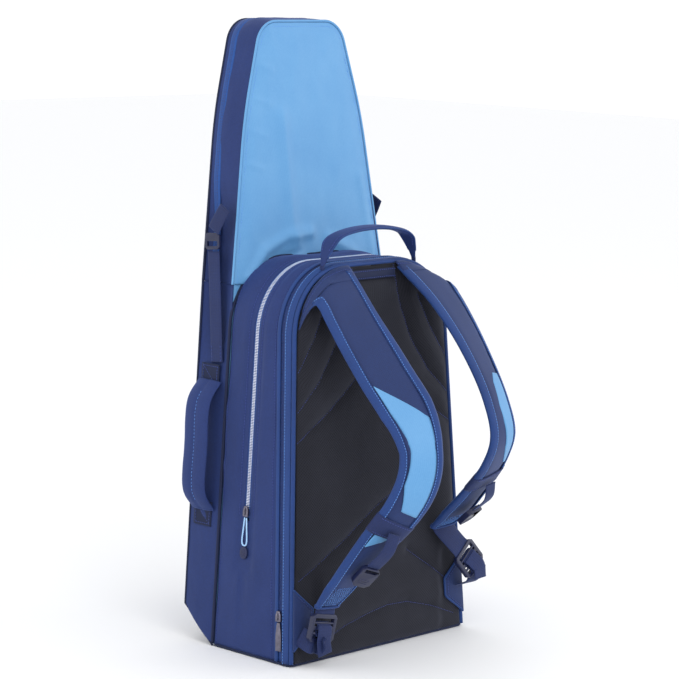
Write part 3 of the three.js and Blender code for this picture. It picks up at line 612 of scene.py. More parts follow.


# ---- Camera, light and floor: the camera comes before the pieces


def add_camera():
    data = bpy.data.cameras.new("view")
    data.lens, data.sensor_width = 139.45, 36
    camera = bpy.data.objects.new("view", data)
    bpy.context.scene.collection.objects.link(camera)
    turn, rise, roll = math.radians(-46.03), math.radians(8.41), math.radians(1.41)
    back = Vector((math.sin(turn) * math.cos(rise), -math.cos(turn) * math.cos(rise), math.sin(rise)))
    right = Vector((math.cos(turn), math.sin(turn), 0))
    up = back.cross(right)
    right, up = right * math.cos(roll) + up * math.sin(roll), up * math.cos(roll) - right * math.sin(roll)
    target = Vector((0.0004, 0.0131, 0.3693))
    camera.matrix_world = Matrix.Translation(target + back * 3.22) @ Matrix((right, up, back)).transposed().to_4x4()
    bpy.context.scene.camera = camera


def add_softbox(name, size, power, place, target=(0, 0, 0.36), colour="ffffff"):
    data = bpy.data.lights.new(name, "AREA")
    data.shape, data.size, data.size_y, data.energy = "RECTANGLE", size[0], size[1], power
    data.color = linear(colour)[:3]
    lamp = bpy.data.objects.new(name, data)
    bpy.context.scene.collection.objects.link(lamp)
    lamp.location = place
    lamp.rotation_euler = (Vector(target) - Vector(place)).to_track_quat("-Z", "Y").to_euler()


def add_studio():
    world = bpy.data.worlds.new("studio")
    world.use_nodes = True
    world.node_tree.nodes["Background"].inputs["Color"].default_value = linear("ffffff")
    world.node_tree.nodes["Background"].inputs["Strength"].default_value = 1.04
    bpy.context.scene.world = world
    bpy.context.scene.view_settings.view_transform = "Standard"
    add_softbox("key", (1.8, 1.8), 26, (-1.2, -2.6, 2.3))
    add_softbox("side", (1.2, 2.2), 10, (-3.0, 0.3, 1.2))
    add_softbox("right_fill", (1.4, 2.0), 12, (2.4, -1.8, 1.4))
    corners = [(-9000, -9000, -0.4), (9000, -9000, -0.4), (9000, 9000, -0.4), (-9000, 9000, -0.4)]
    floor = object_from("floor", corners, [(0, 1, 2, 3)])
    paper, tree, surface = shader("matt_paper_white", Roughness=0.9)
    surface.inputs["Base Color"].default_value = linear("f7f8fa")
    place = add(tree, "ShaderNodeTexCoord").outputs["Object"]
    pulp = add(tree, NOISE, {"Vector": place, "Scale": 1000 / 1.5, "Detail": 2.0, "Roughness": 0.5}).outputs["Fac"]
    bump = add(tree, "ShaderNodeBump", {"Height": pulp, "Strength": 0.1, "Distance": 0.0001})
    tree.links.new(bump.outputs["Normal"], surface.inputs["Normal"])
    floor.data.materials.append(paper)


add_camera()
add_studio()


# ---- Cords: a loop of 2 mm cord hangs from each pull's slider and ends in a moulded tab


def side_frame(sign, y_at, z, lift):
    """On a side of the bag: the point, and the directions +Y, up the side and away from it."""
    here, above = (np.array([sign * (half_width(h) + lift), y_at(h), h]) for h in (z, z + 1))
    along = above - here
    along /= np.linalg.norm(along)
    out = np.cross([0, 1, 0], along) * sign
    return here, np.cross(along, out), along, out


def on(place_frame, points):
    """Points given as X across, Y along and Z out of a place, in the bag's frame."""
    at, wide, along, out = place_frame
    p = np.asarray(points, float)
    return at + p[..., :1] * wide + p[..., 1:2] * along + p[..., 2:3] * out


def pull_tab_mesh(name, place_frame, material, body, replaces):
    """A moulded tab: a long lozenge with rounded edges and three grip ribs."""
    centre = -(SLIDER_L / 2 + PULL_PLAY + CORD_DROP + CORD_R + GAP + TAB_L / 2)
    rings = []
    for z, shrink in ((0.15, 1.3), (0.5, 0.35), (1.5, 0), (2.5, 0.35), (2.85, 1.3)):
        ring = []
        for k in range(40):
            a = 2 * math.pi * k / 40
            x = 6 * np.sign(math.cos(a)) * abs(math.cos(a)) ** 0.62
            y = TAB_L / 2 * np.sign(math.sin(a)) * abs(math.sin(a)) ** 0.72
            y_share = abs(y) / (TAB_L / 2)
            ring.append((x * (1 - 0.25 * y_share**2) * (1 - shrink / 6), centre + y * (1 - shrink / 7.5), z + 0.25))
        rings.append(ring)
    tab = loft_mesh(name, on(place_frame, np.array(rings)))
    ribs = []
    for face_z in (3.15, 0.75):
        for shift in (-3.2, 0, 3.2):
            ribs.append(on(place_frame, [(x, centre + shift, face_z) for x in np.linspace(-3.4, 3.4, 7)]))
    rib_meshes = [tube_mesh(name + "_rib", r, 0.45, 8) for r in ribs]
    tab = joined(tab, rib_meshes)
    return finished(tab, material, body, [replaces])


def joined(first, others):
    """Several meshes as one piece, under the first one's name."""
    edit = bmesh.new()
    edit.from_mesh(first.data)
    for other in others:
        edit.from_mesh(other.data)
        mesh = other.data
        bpy.data.objects.remove(other)
        bpy.data.meshes.remove(mesh)
    edit.to_mesh(first.data)
    edit.free()
    return first


def cord_pull(kind, word, place_frame):
    """A pull on its slider: kind is main_pull or pocket_pull, word which one."""
    body = f"{kind}_{word}"
    top = -SLIDER_L / 2 - PULL_PLAY
    shares = [(-1.5, 0), (-2.4, 0.3), (-CORD_SPREAD, 0.86), (-CORD_SPREAD * 0.7, 0.97), (0, 1),
              (CORD_SPREAD * 0.7, 0.97), (CORD_SPREAD, 0.86), (2.4, 0.3), (1.5, 0)]
    line = Curve([(x, top - CORD_DROP * s, SLIDER_T / 2) for x, s in shares])
    path = on(place_frame, np.array([line.point(t) for t in np.linspace(0, 1, 61)]))
    cord = tube_mesh(f"{kind}_loop_{word}", path, CORD_R, 10)
    finished(cord, cord_braid, body, [f"{kind}_cord_{word}"])
    tab = pull_tab_mesh(f"{kind}_moulded_tab_{word}", place_frame, rubber, body, f"{kind}_tab_{word}")


def pocket_slider_place(word):
    """Where a front pocket's slider hangs: its point, and the directions -X, up and +Y."""
    low, height = POCKETS[word]
    z = low + height - POCKET_ZIPPER_DROP
    at = np.array([-half_width(z) + WALL + GAP + SLIDER_L, SLEEVE_FRONT_Y + GAP + POCKET_T + GAP, z])
    return at, np.array([-1.0, 0, 0]), np.array([0, 0, 1.0]), np.array([0, 1.0, 0])


MAIN_SLIDER_PLACES = {
    word: side_frame(sign, lambda z: MAIN_ZIPPER_Y, MAIN_ZIPPER_LOW_Z + SLIDER_L / 2 + 1, GAP)
    for word, sign in SIDES.items()
}
for word in SIDES:
    cord_pull("main_pull", word, MAIN_SLIDER_PLACES[word])
for word in POCKETS:
    at, wide, along, out = pocket_slider_place(word)
    cord_pull("pocket_pull", word, (at + along * (SLIDER_L - 8.5) / 2, wide, along, out))


# ---- Main body: gussets, piping, padded back and base


def add_main_gusset():
    def y_from(z):
        return rear_zipper_y(z) + ZIPPER_TAPE_W / 2 + GAP

    slot = (MAIN_ZIPPER_Y - 4.2, MAIN_ZIPPER_Y + 4.2)
    points, normals = arch(BODY_ARCH, 0, SHELL_LOW_Z, 3.6)
    rows = []
    for x, z in points:
        start = y_from(z)
        y = np.concatenate([np.linspace(start, slot[0], 14), [MAIN_ZIPPER_Y], np.linspace(slot[1], FRONT_Y, 17)])
        rows.append(np.stack([np.full_like(y, x), y, np.full_like(y, z)], axis=1))
    grid = np.array(rows)
    y, z = grid[..., 1], grid[..., 2]
    side = np.sign(grid[..., 0])
    start = y_from(z)
    share = (y - start) / (FRONT_Y - start)
    crown = 3.2 * np.sin(math.pi * np.clip(share, 0, 1)) ** 0.7
    low = smooth(0, 60, z)
    slow = crumple(grid, 95, 1, 2) * 2.6
    fine = crumple(grid * [1, 1, 0.45], 26, 2, 2) * 0.8
    slot_depth = 1.6 * np.exp(-np.maximum(np.abs(y - MAIN_ZIPPER_Y) - 4.2, 0) / 2.2) * smooth(158, 168, z)
    rear_roll = 1.4 * np.exp(-(y - start) / 3.0)
    front_roll = 2.2 * np.exp(-(FRONT_Y - y) / 4.0)
    pulls = 1.6 * bump_at(z - 0.5 * y, 190, 9) * smooth(20, 50, y)
    pulls += 1.3 * bump_at(z + 0.6 * y, 330, 11) * smooth(15, 45, y)
    push = (crown + slow + fine) * (0.35 + 0.65 * low) - slot_depth - rear_roll - front_roll + pulls * (side < 0)
    push = np.where(np.abs(y - MAIN_ZIPPER_Y) < 5, np.minimum(push, 1.4), push)
    under_pull = smooth(20, 9, np.abs(y - MAIN_ZIPPER_Y)) * smooth(92, 104, z)
    push = np.where(push > 0.2, 0.2 + (push - 0.2) * (1 - under_pull), push)
    grid[..., 0] += normals[:, None, 0] * push
    grid[..., 2] += normals[:, None, 1] * push
    cell_z = (z[1:, :-1] + z[:-1, :-1]) / 2
    column = np.arange(grid.shape[1] - 1)[None, :]
    keep = ~((cell_z > MAIN_ZIPPER_LOW_Z - 3) & ((column == 13) | (column == 14)))
    cloth = sheet_mesh("main_gusset_cloth", grid[:, ::-1], 1.5, keep[:, ::-1])
    finished(cloth, navy, "root", ["main_gusset"])
    outer = grid - surface_normals(grid) * 0.25
    seams = [above(outer[:, column], MAIN_ZIPPER_LOW_Z) for column in (11, 18)]
    stitches("main_gusset_stitches", [*seams, outer[:, 2], outer[:, -3]], "root")


def arch_line(corners, inset, low_z, step, y_at, lift=0.0):
    """A line in space along an arch at a depth that depends on height, lifted off the arch."""
    points, normals = arch(corners, inset, low_z, step)
    points = points + normals * lift
    return np.stack([points[:, 0], [y_at(z) for z in points[:, 1]], points[:, 1]], axis=1)


def above(line, z):
    """The stretch of an arch's line that lies above a height."""
    return line[line[:, 2] > z]


def strip_along_arch(name, corners, low_z, y_low, y_high, lift, thickness, material, replaces, round_edges=0.0,
                     columns=9, body="root", step=5.0):
    """A strip of tape that follows an arch between two depths, its edges turned down a little."""
    points, normals = arch(corners, 0, low_z, step)
    t = np.linspace(0, 1, columns)
    rows = []
    for (x, z), n in zip(points, normals):
        y = y_low(z) + (y_high(z) - y_low(z)) * t
        push = lift - round_edges * (np.abs(2 * t - 1) ** 4)
        rows.append(np.stack([x + n[0] * push, y, z + n[1] * push], axis=1))
    made = sheet_mesh(name, np.array(rows), thickness)
    return finished(made, material, body, replaces)


def add_main_zipper():
    """The main zip: two tape edges in the slot of the gusset, and the coil between them, two rows of teeth."""
    strip_along_arch("main_zip_tape", BODY_ARCH, MAIN_ZIPPER_LOW_Z, lambda z: MAIN_ZIPPER_Y - 5.2,
                     lambda z: MAIN_ZIPPER_Y + 5.2, -0.95, 0.8, zip_tape, ["main_zipper"])
    for shift, word in ((-1.35, "rear"), (1.35, "front")):
        line = arch_line(BODY_ARCH, 0, MAIN_ZIPPER_LOW_Z + 4, 4, lambda z: MAIN_ZIPPER_Y + shift, 0.0)
        beads(f"main_zip_teeth_{word}", [(line, (0, 1, 0))], coil, "root", 1.9, (3.8, 1.3, 1.5))


def add_rear_seam():
    """The rear zip between the gussets and the binding strip and piping that frame the padded back."""
    def strip_from(z):
        return back_y(z) + PIPING_R + GAP

    strip_along_arch("rear_binding_strip", BODY_ARCH, SHELL_LOW_Z, strip_from,
                     lambda z: strip_from(z) + REAR_GUSSET_DEPTH, 0.3, 1.6, tape, ["rear_gusset"], 0.8)
    strip_along_arch("rear_zip_tape", BODY_ARCH, SHELL_LOW_Z, lambda z: rear_zipper_y(z) - 5.0,
                     lambda z: rear_zipper_y(z) + 5.0, -1.0, 0.8, tape, ["rear_zipper"])
    for shift, word in ((-1.2, "rear"), (1.2, "front")):
        line = arch_line(BODY_ARCH, 0, SHELL_LOW_Z + 50, 4, lambda z: rear_zipper_y(z) + shift, -0.2)
        beads(f"rear_zip_teeth_{word}", [(line, (0, 1, 0))], dark_coil, "root", 1.9, (2.9, 1.4, 1.25))
    strip_along_arch("rear_zip_flap", BODY_ARCH, SHELL_LOW_Z, lambda z: rear_zipper_y(z) + 2.4,
                     lambda z: rear_zipper_y(z) + 7.0, 0.9, 1.2, tape, [], 0.9)
    line = arch_line(BODY_ARCH, PIPING_R, SHELL_LOW_Z, 4, back_y, 0.6)
    piping = tube_mesh("back_piping_tube", line, PIPING_R + 0.5, 12)
    finished(piping, tape, "root", ["back_piping"])
    seam = arch_line(BODY_ARCH, 0, SHELL_LOW_Z, 4, lambda z: strip_from(z) + REAR_GUSSET_DEPTH - 2.2, 2.0)
    stitches("rear_strip_stitches", [seam], "root", blue_thread)


def add_welts():
    """Covered piping where the main body's gusset meets the sleeve."""
    line = arch_line(BODY_ARCH, 0, SHELL_LOW_Z, 4, lambda z: FRONT_Y + 0.4, 0.2)
    finished(tube_mesh("front_welt", line, 2.0, 10), deep_navy, "root")


add_main_gusset()
add_main_zipper()
add_rear_seam()
add_welts()


# ---- The padded back


QUILT = [
    [(39, 466), (47, 421), (66, 374), (95, 333), (136, 296)],
    [(80, 425), (102, 384), (130, 345)],
    [(34, 330), (76, 299), (146, 257)],
]
QUILT_LOW = [
    [(44, 195), (-8, 170), (-61, 138), (-136, 101)],
    [(50, 113), (92, 86), (136, 56)],
    [(-104, 21), (-60, 36), (-21, 44), (14, 49), (48, 48), (92, 36), (134, 20)],
]


def dense(path, step=2.0):
    return evenly(np.asarray(path, float), step)[0]


def arch_half_width(corners, inset, low_z, z):
    """Half the width inside a rounded outline at a height."""
    outline, _ = arch(corners, inset, low_z, 1.0)
    right = outline[: len(outline) // 2]
    order = np.argsort(right[:, 1], kind="stable")
    return np.interp(z, right[order, 1], right[order, 0])


def add_padded_back():
    """Foam under spacer mesh: pillows between the quilting seams, drawn down at each seam and at the edge."""
    seams = []
    for path in QUILT:
        seams.append(dense(path))
        seams.append(dense([(-x, z) for x, z in path]))
    for path in QUILT_LOW:
        seams.append(dense(path))
    outline, _ = arch(BODY_ARCH, COVER_INSET, SHELL_LOW_Z, 2.0)
    foot = np.stack([np.linspace(-outline[0, 0], outline[0, 0], 140), np.full(140, SHELL_LOW_Z)], axis=1)
    edge = np.concatenate([outline, foot])
    top = BODY_H - COVER_INSET
    z = np.concatenate([np.arange(SHELL_LOW_Z, 380, 2.0), 380 + (top - 380) * np.sin(np.linspace(0, math.pi / 2, 58))])
    half = arch_half_width(BODY_ARCH, COVER_INSET, SHELL_LOW_Z, z)
    s = np.linspace(-1, 1, 150)
    x = half[:, None] * s[None, :]
    zz = np.broadcast_to(z[:, None], x.shape)
    flat = np.stack([x, zz], axis=2).reshape(-1, 2)

    def distance(to, chunk=4000):
        out = np.empty(len(flat))
        for k in range(0, len(flat), chunk):
            d = flat[k : k + chunk, None, :] - to[None, :, :]
            out[k : k + chunk] = np.sqrt((d**2).sum(axis=2).min(axis=1))
        return out.reshape(x.shape)

    to_edge = distance(edge)
    to_seam = np.min([distance(line) for line in seams], axis=0)
    rise = 7.4 * (1 - np.exp(-to_edge / 9.0)) * (0.06 + 0.94 * (1 - np.exp(-to_seam / 8.0)))
    place = np.stack([x, np.zeros_like(x), zz], axis=2)
    rise += crumple(place, 60, 4, 3) * 0.6 * (1 - np.exp(-to_edge / 14))
    creases = crumple(place * [0.22, 1, 1.0], 15, 5, 2)
    rise += creases * 0.95 * np.exp(-np.minimum(to_edge, to_seam) / 22) * (1 - np.exp(-to_edge / 3))
    low_wings = smooth(118, 96, zz) * smooth(100, 118, np.abs(x))
    rise *= 1 - 0.75 * low_wings
    rise *= 1 - 0.8 * smooth(440, 452, zz) * smooth(46, 40, np.abs(x))
    y = back_y(zz) - PIPING_R + 1.0 - rise
    cover = sheet_mesh("quilted_back", np.stack([x, y, zz], axis=2)[:, ::-1], 2.0)
    finished(cover, spacer_mesh, "root", ["back_cover", "back_foam", "frame_sheet"])
    rows = []
    for line in seams:
        inside = []
        for px, pz in line:
            i = int(np.argmin(np.abs(z - pz)))
            if abs(px) > half[i] - 1.5:
                continue
            j = int(np.argmin(np.abs(x[i] - px)))
            inside.append((px, y[i, j] - 0.15, pz))
        rows.append(np.array(inside))
    rows = [row for row in rows if len(row) > 2]
    stitches("quilting_stitches", rows, "root",
             navy_thread, 3.2, (0.7, 0.6, 2.4))


add_padded_back()


# ---- Sleeve, pockets and base


def side_cloth_grid(sign, low, high, y_from, y_to, rows, columns, offset, reach=half_width):
    """A side wall's points: rows up, columns from y_from to y_to, pushed off the wall by offset."""
    t = np.linspace(0, 1, rows)[:, None]
    share = np.linspace(0, 1, columns)[None, :]
    y0 = y_from + (y_to - y_from) * share
    z = low(y0) + (high - low(y0)) * t
    y = np.broadcast_to(y0, z.shape)
    base = np.stack([np.full_like(z, 1.0), y, z], axis=2)
    base[..., 0] = sign * (reach(z) + offset(y, z, share))
    return base


def bellows(z, share):
    """How deep the side folds in round the joint of sleeve and hood, where it is gathered."""
    return 9.0 * smooth(285, 400, z) * smooth(575, 500, z) * np.sin(math.pi * share) ** 0.8


def add_sleeve():
    def offset_for(sign):
        def offset(y, z, share):
            place = np.stack([np.full_like(z, sign * 150.0), y, z], axis=2)
            swell = 2.6 * np.sin(math.pi * share) ** 0.6 * smooth(440, 300, z)
            folds = crumple(place * [1, 1, 0.6], 46, 7, 3) * 1.8 * np.sin(math.pi * share) ** 0.5
            crease = 1.6 * bump_at(z + 0.9 * (y - 90), 352, 6) + 1.2 * bump_at(z - 0.7 * (y - 90), 158, 7)
            return swell + folds - bellows(z, share) + crease * np.sin(math.pi * share)
        return offset

    for word, sign in SIDES.items():
        grid = side_cloth_grid(sign, chamfer_z, SLEEVE_H, FRONT_Y + GAP, SLEEVE_FRONT_Y, 110, 22, offset_for(sign))
        if sign > 0:
            grid = grid[:, ::-1]
        cloth = sheet_mesh(f"sleeve_side_{word}", grid, 1.5)
        finished(cloth, navy, "root", [f"sleeve_gusset_{word}"])

    s = np.linspace(-1, 1, 90)
    z = np.linspace(SLEEVE_CHAMFER_H + WALL, SLEEVE_H, 110)
    x = (half_width(z)[:, None] - 1.2) * s
    zz = np.broadcast_to(z[:, None], x.shape)
    place = np.stack([x, np.zeros_like(x), zz], axis=2)
    edge = np.minimum(1 - np.abs(s)[None, :], 1) * 140
    rise = 4.5 * (1 - np.exp(-edge / 22)) + crumple(place, 80, 9, 3) * 1.6
    rise *= smooth(30, 70, zz) * smooth(SLEEVE_H, SLEEVE_H - 75, zz)
    pocket_zone = smooth(50, 62, zz) * smooth(292, 282, zz)
    rise = rise * (1 - pocket_zone) + 0.2
    front = np.stack([x, SLEEVE_FRONT_Y + rise, zz], axis=2)
    finished(sheet_mesh("sleeve_front", front, 1.5), navy, "root", ["sleeve_front_panel"])

    z = np.linspace(1, SLEEVE_H, 60)
    x = (half_width(z)[:, None] - WALL - GAP) * s
    zz = np.broadcast_to(z[:, None], x.shape)
    rear = np.stack([x, np.full_like(x, FRONT_Y + GAP), zz], axis=2)
    finished(sheet_mesh("sleeve_rear", rear[:, ::-1], 2.4), sky, "root", ["sleeve_rear_wall"])

    t = np.linspace(0, 1, 24)[:, None]
    y = FRONT_Y + GAP + 1.5 + (SLEEVE_DEPTH - 1.5) * t
    x = (half_width(chamfer_z(y)) - 1.6) * s[None, :]
    sag = 2.2 * np.sin(math.pi * t) * (1 - s[None, :] ** 6)
    z = chamfer_z(y) - sag * 0.5 + 0.4
    floor = np.stack([x, np.broadcast_to(y, x.shape), z], axis=2)
    finished(sheet_mesh("sleeve_slanted_floor", floor, 1.5), deep_navy, "root", ["sleeve_floor"])

    for word, sign in SIDES.items():
        z = np.linspace(SLEEVE_CHAMFER_H, HOOD_LOW_Z + 0.3, 90)
        line = np.stack([sign * (half_width(z) + 0.2), np.full_like(z, SLEEVE_FRONT_Y), z], axis=1)
        y = np.linspace(FRONT_Y, SLEEVE_FRONT_Y, 16)[:-1]
        low = np.stack([sign * (half_width(chamfer_z(y)) + 0.2), y, chamfer_z(y) + 0.6], axis=1)
        welt = tube_mesh(f"sleeve_welt_{word}", np.concatenate([low, line]), 1.5, 10)
        finished(welt, deep_navy, "root")
    cross = [[x, SLEEVE_FRONT_Y, SLEEVE_CHAMFER_H + 0.5] for x in np.linspace(-150, 150, 60)]
    finished(tube_mesh("sleeve_welt_front", cross, 1.5, 10), deep_navy, "root")


def pocket_rise(word, x, z):
    """How far a front pocket stands off the sleeve at a place on its face."""
    low, height = POCKETS[word]
    edge_x = half_width(z) - WALL - GAP - np.abs(x)
    edge_z = np.minimum(z - low, low + height - z)
    edge = np.minimum(edge_x, edge_z)
    zip_z = low + height - POCKET_ZIPPER_DROP
    place = np.stack([x, np.zeros_like(x), z], axis=2)
    rise = 8.0 * (1 - np.exp(-np.maximum(edge, 0) / 4.5)) + 3.0 * smooth(5, 60, edge)
    rise += crumple(place * [0.7, 1, 1], 48, 11 + low, 3) * 1.4 * smooth(0, 20, edge)
    rise = np.where(np.abs(z - zip_z) < 14, np.minimum(rise, 8.2 + 0.16 * np.abs(z - zip_z)), rise)
    rise = np.where((z < zip_z) & (z > zip_z - 68), np.minimum(rise, 8.55), rise)
    rise -= 1.0 * bump_at(z, zip_z, 4.2) * smooth(4, 9, edge_x)
    return np.maximum(rise, 0)


def add_pockets():
    for word, (low, height) in POCKETS.items():
        zip_z = low + height - POCKET_ZIPPER_DROP
        z = np.unique(np.concatenate([np.linspace(low, low + height, 60), zip_z + np.array([-5, -3.4, 0, 3.4, 5])]))
        s = np.concatenate([-1 + 0.08 * np.linspace(0, 1, 8)[:-1], np.linspace(-0.92, 0.92, 84),
                            1 - 0.08 * np.linspace(0, 1, 8)[-2::-1]])
        x = (half_width(z)[:, None] - WALL - GAP) * s[None, :]
        zz = np.broadcast_to(z[:, None], x.shape)
        y = SLEEVE_FRONT_Y + GAP + pocket_rise(word, x, zz)
        cloth = sheet_mesh(f"front_pocket_cloth_{word}", np.stack([x, y, zz], axis=2), 1.2)
        finished(cloth, navy, "root", [f"front_pocket_{word}"])
        reach = half_width(zip_z) - 14
        face = SLEEVE_FRONT_Y + GAP + POCKET_T
        xs = np.linspace(-reach, reach, 60)
        profile = ((-5, -0.5), (-4, 0.0), (0, 0.1), (4, 0.0), (5, -0.5))
        tape_rows = [[(x, face + lift, zip_z + dz) for dz, lift in profile] for x in xs]
        strip = sheet_mesh(f"pocket_zip_tape_{word}", np.array(tape_rows), 0.7)
        finished(strip, zip_tape, "root")
        for shift, row in ((-1.3, "low"), (1.3, "high")):
            line = [(x, face + 0.15, zip_z + shift) for x in xs]
            beads(f"pocket_zip_teeth_{word}_{row}", [(line, (0, 0, 1))], dark_coil, "root", 1.9,
                  (3.1, 1.4, 1.25))
        rows = []
        for dz in (-7.2, 7.2):
            rows.append([(x, face + 0.4 + 0.16 * 7, zip_z + dz) for x in xs])
        stitches(f"pocket_stitches_{word}", rows, "root")


def add_base():
    """The stiffened base: a slab with rounded corners and a turned edge."""
    rings = []
    for z, inset in ((0.0, 2.6), (0.25, 1.1), (1.2, 0.2), (2.4, 0.0), (3.2, 0.5)):
        ring = []
        for cx, cy, start in ((1, -1, -90), (1, 1, 0), (-1, 1, 90), (-1, -1, 180)):
            for k in range(9):
                a = math.radians(start + 90 * k / 8)
                r = 9.0
                ring.append((cx * (BODY_W_BOTTOM / 2 - inset - r + 1.5) + r * math.cos(a),
                             cy * (DEPTH_BOTTOM / 2 - inset - r + 1.5) + r * math.sin(a), z))
        rings.append(ring)
    finished(loft_mesh("base_slab", np.array(rings)), deep_navy, "root", ["base_panel"])


add_sleeve()
add_pockets()
add_base()


# ---- Hood


def hood_panel(name, inset, y_at, sign, folds, material, replaces):
    """One face of the hood: sign -1 is the wearer's side. folds gives its own creases from x and z."""
    top = SLEEVE_H + HOOD_H - inset
    z = np.concatenate([np.arange(HOOD_LOW_Z, 716, 2.6), 716 + (top - 716) * np.sin(np.linspace(0, math.pi / 2, 30))])
    half = arch_half_width(HOOD_ARCH, inset, HOOD_LOW_Z, z)
    s = np.linspace(-1, 1, 96)
    x = half[:, None] * s[None, :]
    zz = np.broadcast_to(z[:, None], x.shape)
    edge = np.minimum(half[:, None] * (1 - np.abs(s)[None, :]), top - zz + 0.5)
    place = np.stack([x, np.zeros_like(x), zz], axis=2)
    rise = 4.2 * (1 - np.exp(-edge / 20)) + crumple(place * [1, 1, 0.55], 62, 13, 3) * 2.0 * smooth(0, 24, edge)
    rise += folds(x, zz) * smooth(0, 14, edge)
    if sign > 0:
        rise *= smooth(SLEEVE_H, SLEEVE_H + 75, zz)
    rise += crumple(place * [0.35, 1, 1.6], 17, 14, 2) * 0.6 * np.exp(-edge / 12) * smooth(0, 2, edge)
    grid = np.stack([x, y_at(zz) + sign * rise, zz], axis=2)
    if sign < 0:
        grid = grid[:, ::-1]
    return finished(sheet_mesh(name, grid, 1.6), material, "hood", replaces)


def ridge(x, z, path, width, height):
    """A soft crease along a path of (x, z) points."""
    line = dense(path, 4.0)
    d = np.sqrt(((np.stack([x, z], axis=2)[..., None, :] - line) ** 2).sum(axis=3).min(axis=2))
    return height * np.exp(-((d / width) ** 2))


def rear_folds(x, z):
    total = ridge(x, z, [(-42, 640), (-36, 560), (-30, 500), (-20, 462)], 9, 3.6)
    total += ridge(x, z, [(-104, 448), (-78, 478), (-40, 494), (0, 496)], 7.5, 4.6)
    total += ridge(x, z, [(-86, 442), (-58, 464), (-22, 474)], 6, -2.6)
    total += ridge(x, z, [(96, 446), (70, 472), (34, 486)], 8, 3.6)
    total += ridge(x, z, [(112, 470), (100, 520), (92, 560)], 8, 1.8)
    for height in (702, 662, 624, 585):
        up = height - 585
        total += ridge(x, z, [(-105 + up * 0.26, height), (-78 + up * 0.2, height - 7)], 4, 1.1)
    return total


def front_folds(x, z):
    return ridge(x, z, [(40, 650), (34, 540), (18, 455)], 12, 2.4) + ridge(x, z, [(-90, 455), (-40, 480)], 9, 2.6)


def add_hood():
    hood_panel("hood_sky_panel", WALL - 1.2, hood_back_y, -1, rear_folds, sky, ["hood_back_panel"])
    hood_panel("hood_front_cloth", WALL - 1.2, hood_front_y, 1, front_folds, navy,
               ["hood_front_panel"])
    points, normals = arch(HOOD_ARCH, 0, HOOD_LOW_Z, 3.2)
    share = np.linspace(0, 1, 27)
    rows = []
    for (x, z), n in zip(points, normals):
        y = hood_back_y(z) + (hood_front_y(z) - hood_back_y(z)) * share
        rows.append(np.stack([np.full_like(y, x), y, np.full_like(y, z)], axis=1))
    grid = np.array(rows)
    z = grid[..., 2]
    depth = share[None, :] * SLEEVE_DEPTH
    swell = 2.2 * np.sin(math.pi * share[None, :]) ** 0.6 * smooth(480, 600, z)
    folds = crumple(grid * [1, 1, 0.55], 40, 17, 3) * 1.5 * np.sin(math.pi * share[None, :]) ** 0.5
    zip_bed = -0.8 * bump_at(depth, SLEEVE_DEPTH - 13, 5.5)
    push = swell + folds + zip_bed - bellows(z, share[None, :])
    grid[..., 0] += normals[:, None, 0] * push
    grid[..., 2] += normals[:, None, 1] * push
    finished(sheet_mesh("hood_gusset_cloth", grid[:, ::-1], 1.5), navy, "hood", ["hood_gusset"])

    def surface_lift(z):
        return -float(bellows(np.array(z), np.array(0.75))) + 1.2

    def zip_y(z):
        return hood_front_y(z) - 13

    lines = []
    rows = []
    for (x, z), n in zip(points, normals):
        lift = surface_lift(z)
        rows.append([(x + n[0] * (lift + d), zip_y(z) + dy, z + n[1] * (lift + d))
                     for dy, d in ((-5.2, -0.5), (-4.2, 0.1), (0, 0.3), (4.2, 0.1), (5.2, -0.5))])
        lines.append((x + n[0] * (lift + 0.5), zip_y(z), z + n[1] * (lift + 0.5)))
    finished(sheet_mesh("hood_zip_tape", np.array(rows), 0.7), zip_tape, "hood")
    lines = np.array(lines)
    for shift, word in ((-1.3, "rear"), (1.3, "front")):
        beads(f"hood_zip_teeth_{word}", [(lines + [0, shift, 0], (0, 1, 0))], dark_coil, "hood", 1.9,
              (3.2, 1.4, 1.25))
    for word, y_at, material, radius in (("rear", hood_back_y, sky, 1.5), ("front", hood_front_y, deep_navy, 1.8)):
        line = arch_line(HOOD_ARCH, 0, HOOD_LOW_Z, 3.2, y_at, 0.0)
        finished(tube_mesh(f"hood_welt_{word}", line, radius, 10), material, "hood")
    seam = arch_line(HOOD_ARCH, WALL + 3.5, HOOD_LOW_Z + 3, 3.2, lambda z: hood_back_y(z) - 0.9)
    stitches("hood_panel_stitches", [seam], "hood", blue_thread, 3.6, (0.7, 0.6, 2.6))


add_hood()


# ---- Shoulder straps


STRAP_LINES = {
    "left": [(0, 8, 76), (50, 42, 76), (108, 89, 75), (165, 135, 74), (211, 149, 78), (250, 140, 86), (300, 103, 101),
             (350, 60, 112), (389, 29, 119)],
    "right": [(0, 8, 76), (40, 55, 76), (94, 100, 75), (150, 133, 74), (190, 141, 76), (225, 124, 80), (262, 90, 86),
              (297, 52, 93), (322, 20, 100)],
}
PAD_TWIST = {"left": 34, "right": 16}
LOCK_WAYS = {"left": ((-0.2, 0.05, -0.98), 8), "right": ((0.58, -0.22, -0.78), 42)}
KEEPER_PLACE = {"left": 0.72, "right": 0.74}
X_AXIS = (1.0, 0.0, 0.0)
# Where the pad's two edges run, in shares of its half width, from its root to its end: outer edge, inner edge.
PAD_EDGES = {
    "left": [(0, -1.42, 1.0), (0.04, -1.25, 1.0), (0.09, -1.05, 1.0), (0.15, -1.0, 1.0), (0.4, -0.96, 1.03),
             (0.47, -0.84, 0.92), (0.51, -0.78, 0.84), (0.57, -0.88, 0.80), (0.65, -1.0, 0.78), (0.8, -1.08, 0.92),
             (0.93, -1.05, 1.0), (1.0, -0.82, 0.82)],
    "right": [(0, -1.0, 1.3), (0.05, -1.0, 1.12), (0.12, -1.0, 1.0), (0.9, -1.0, 1.0), (1.0, -0.8, 0.8)],
}


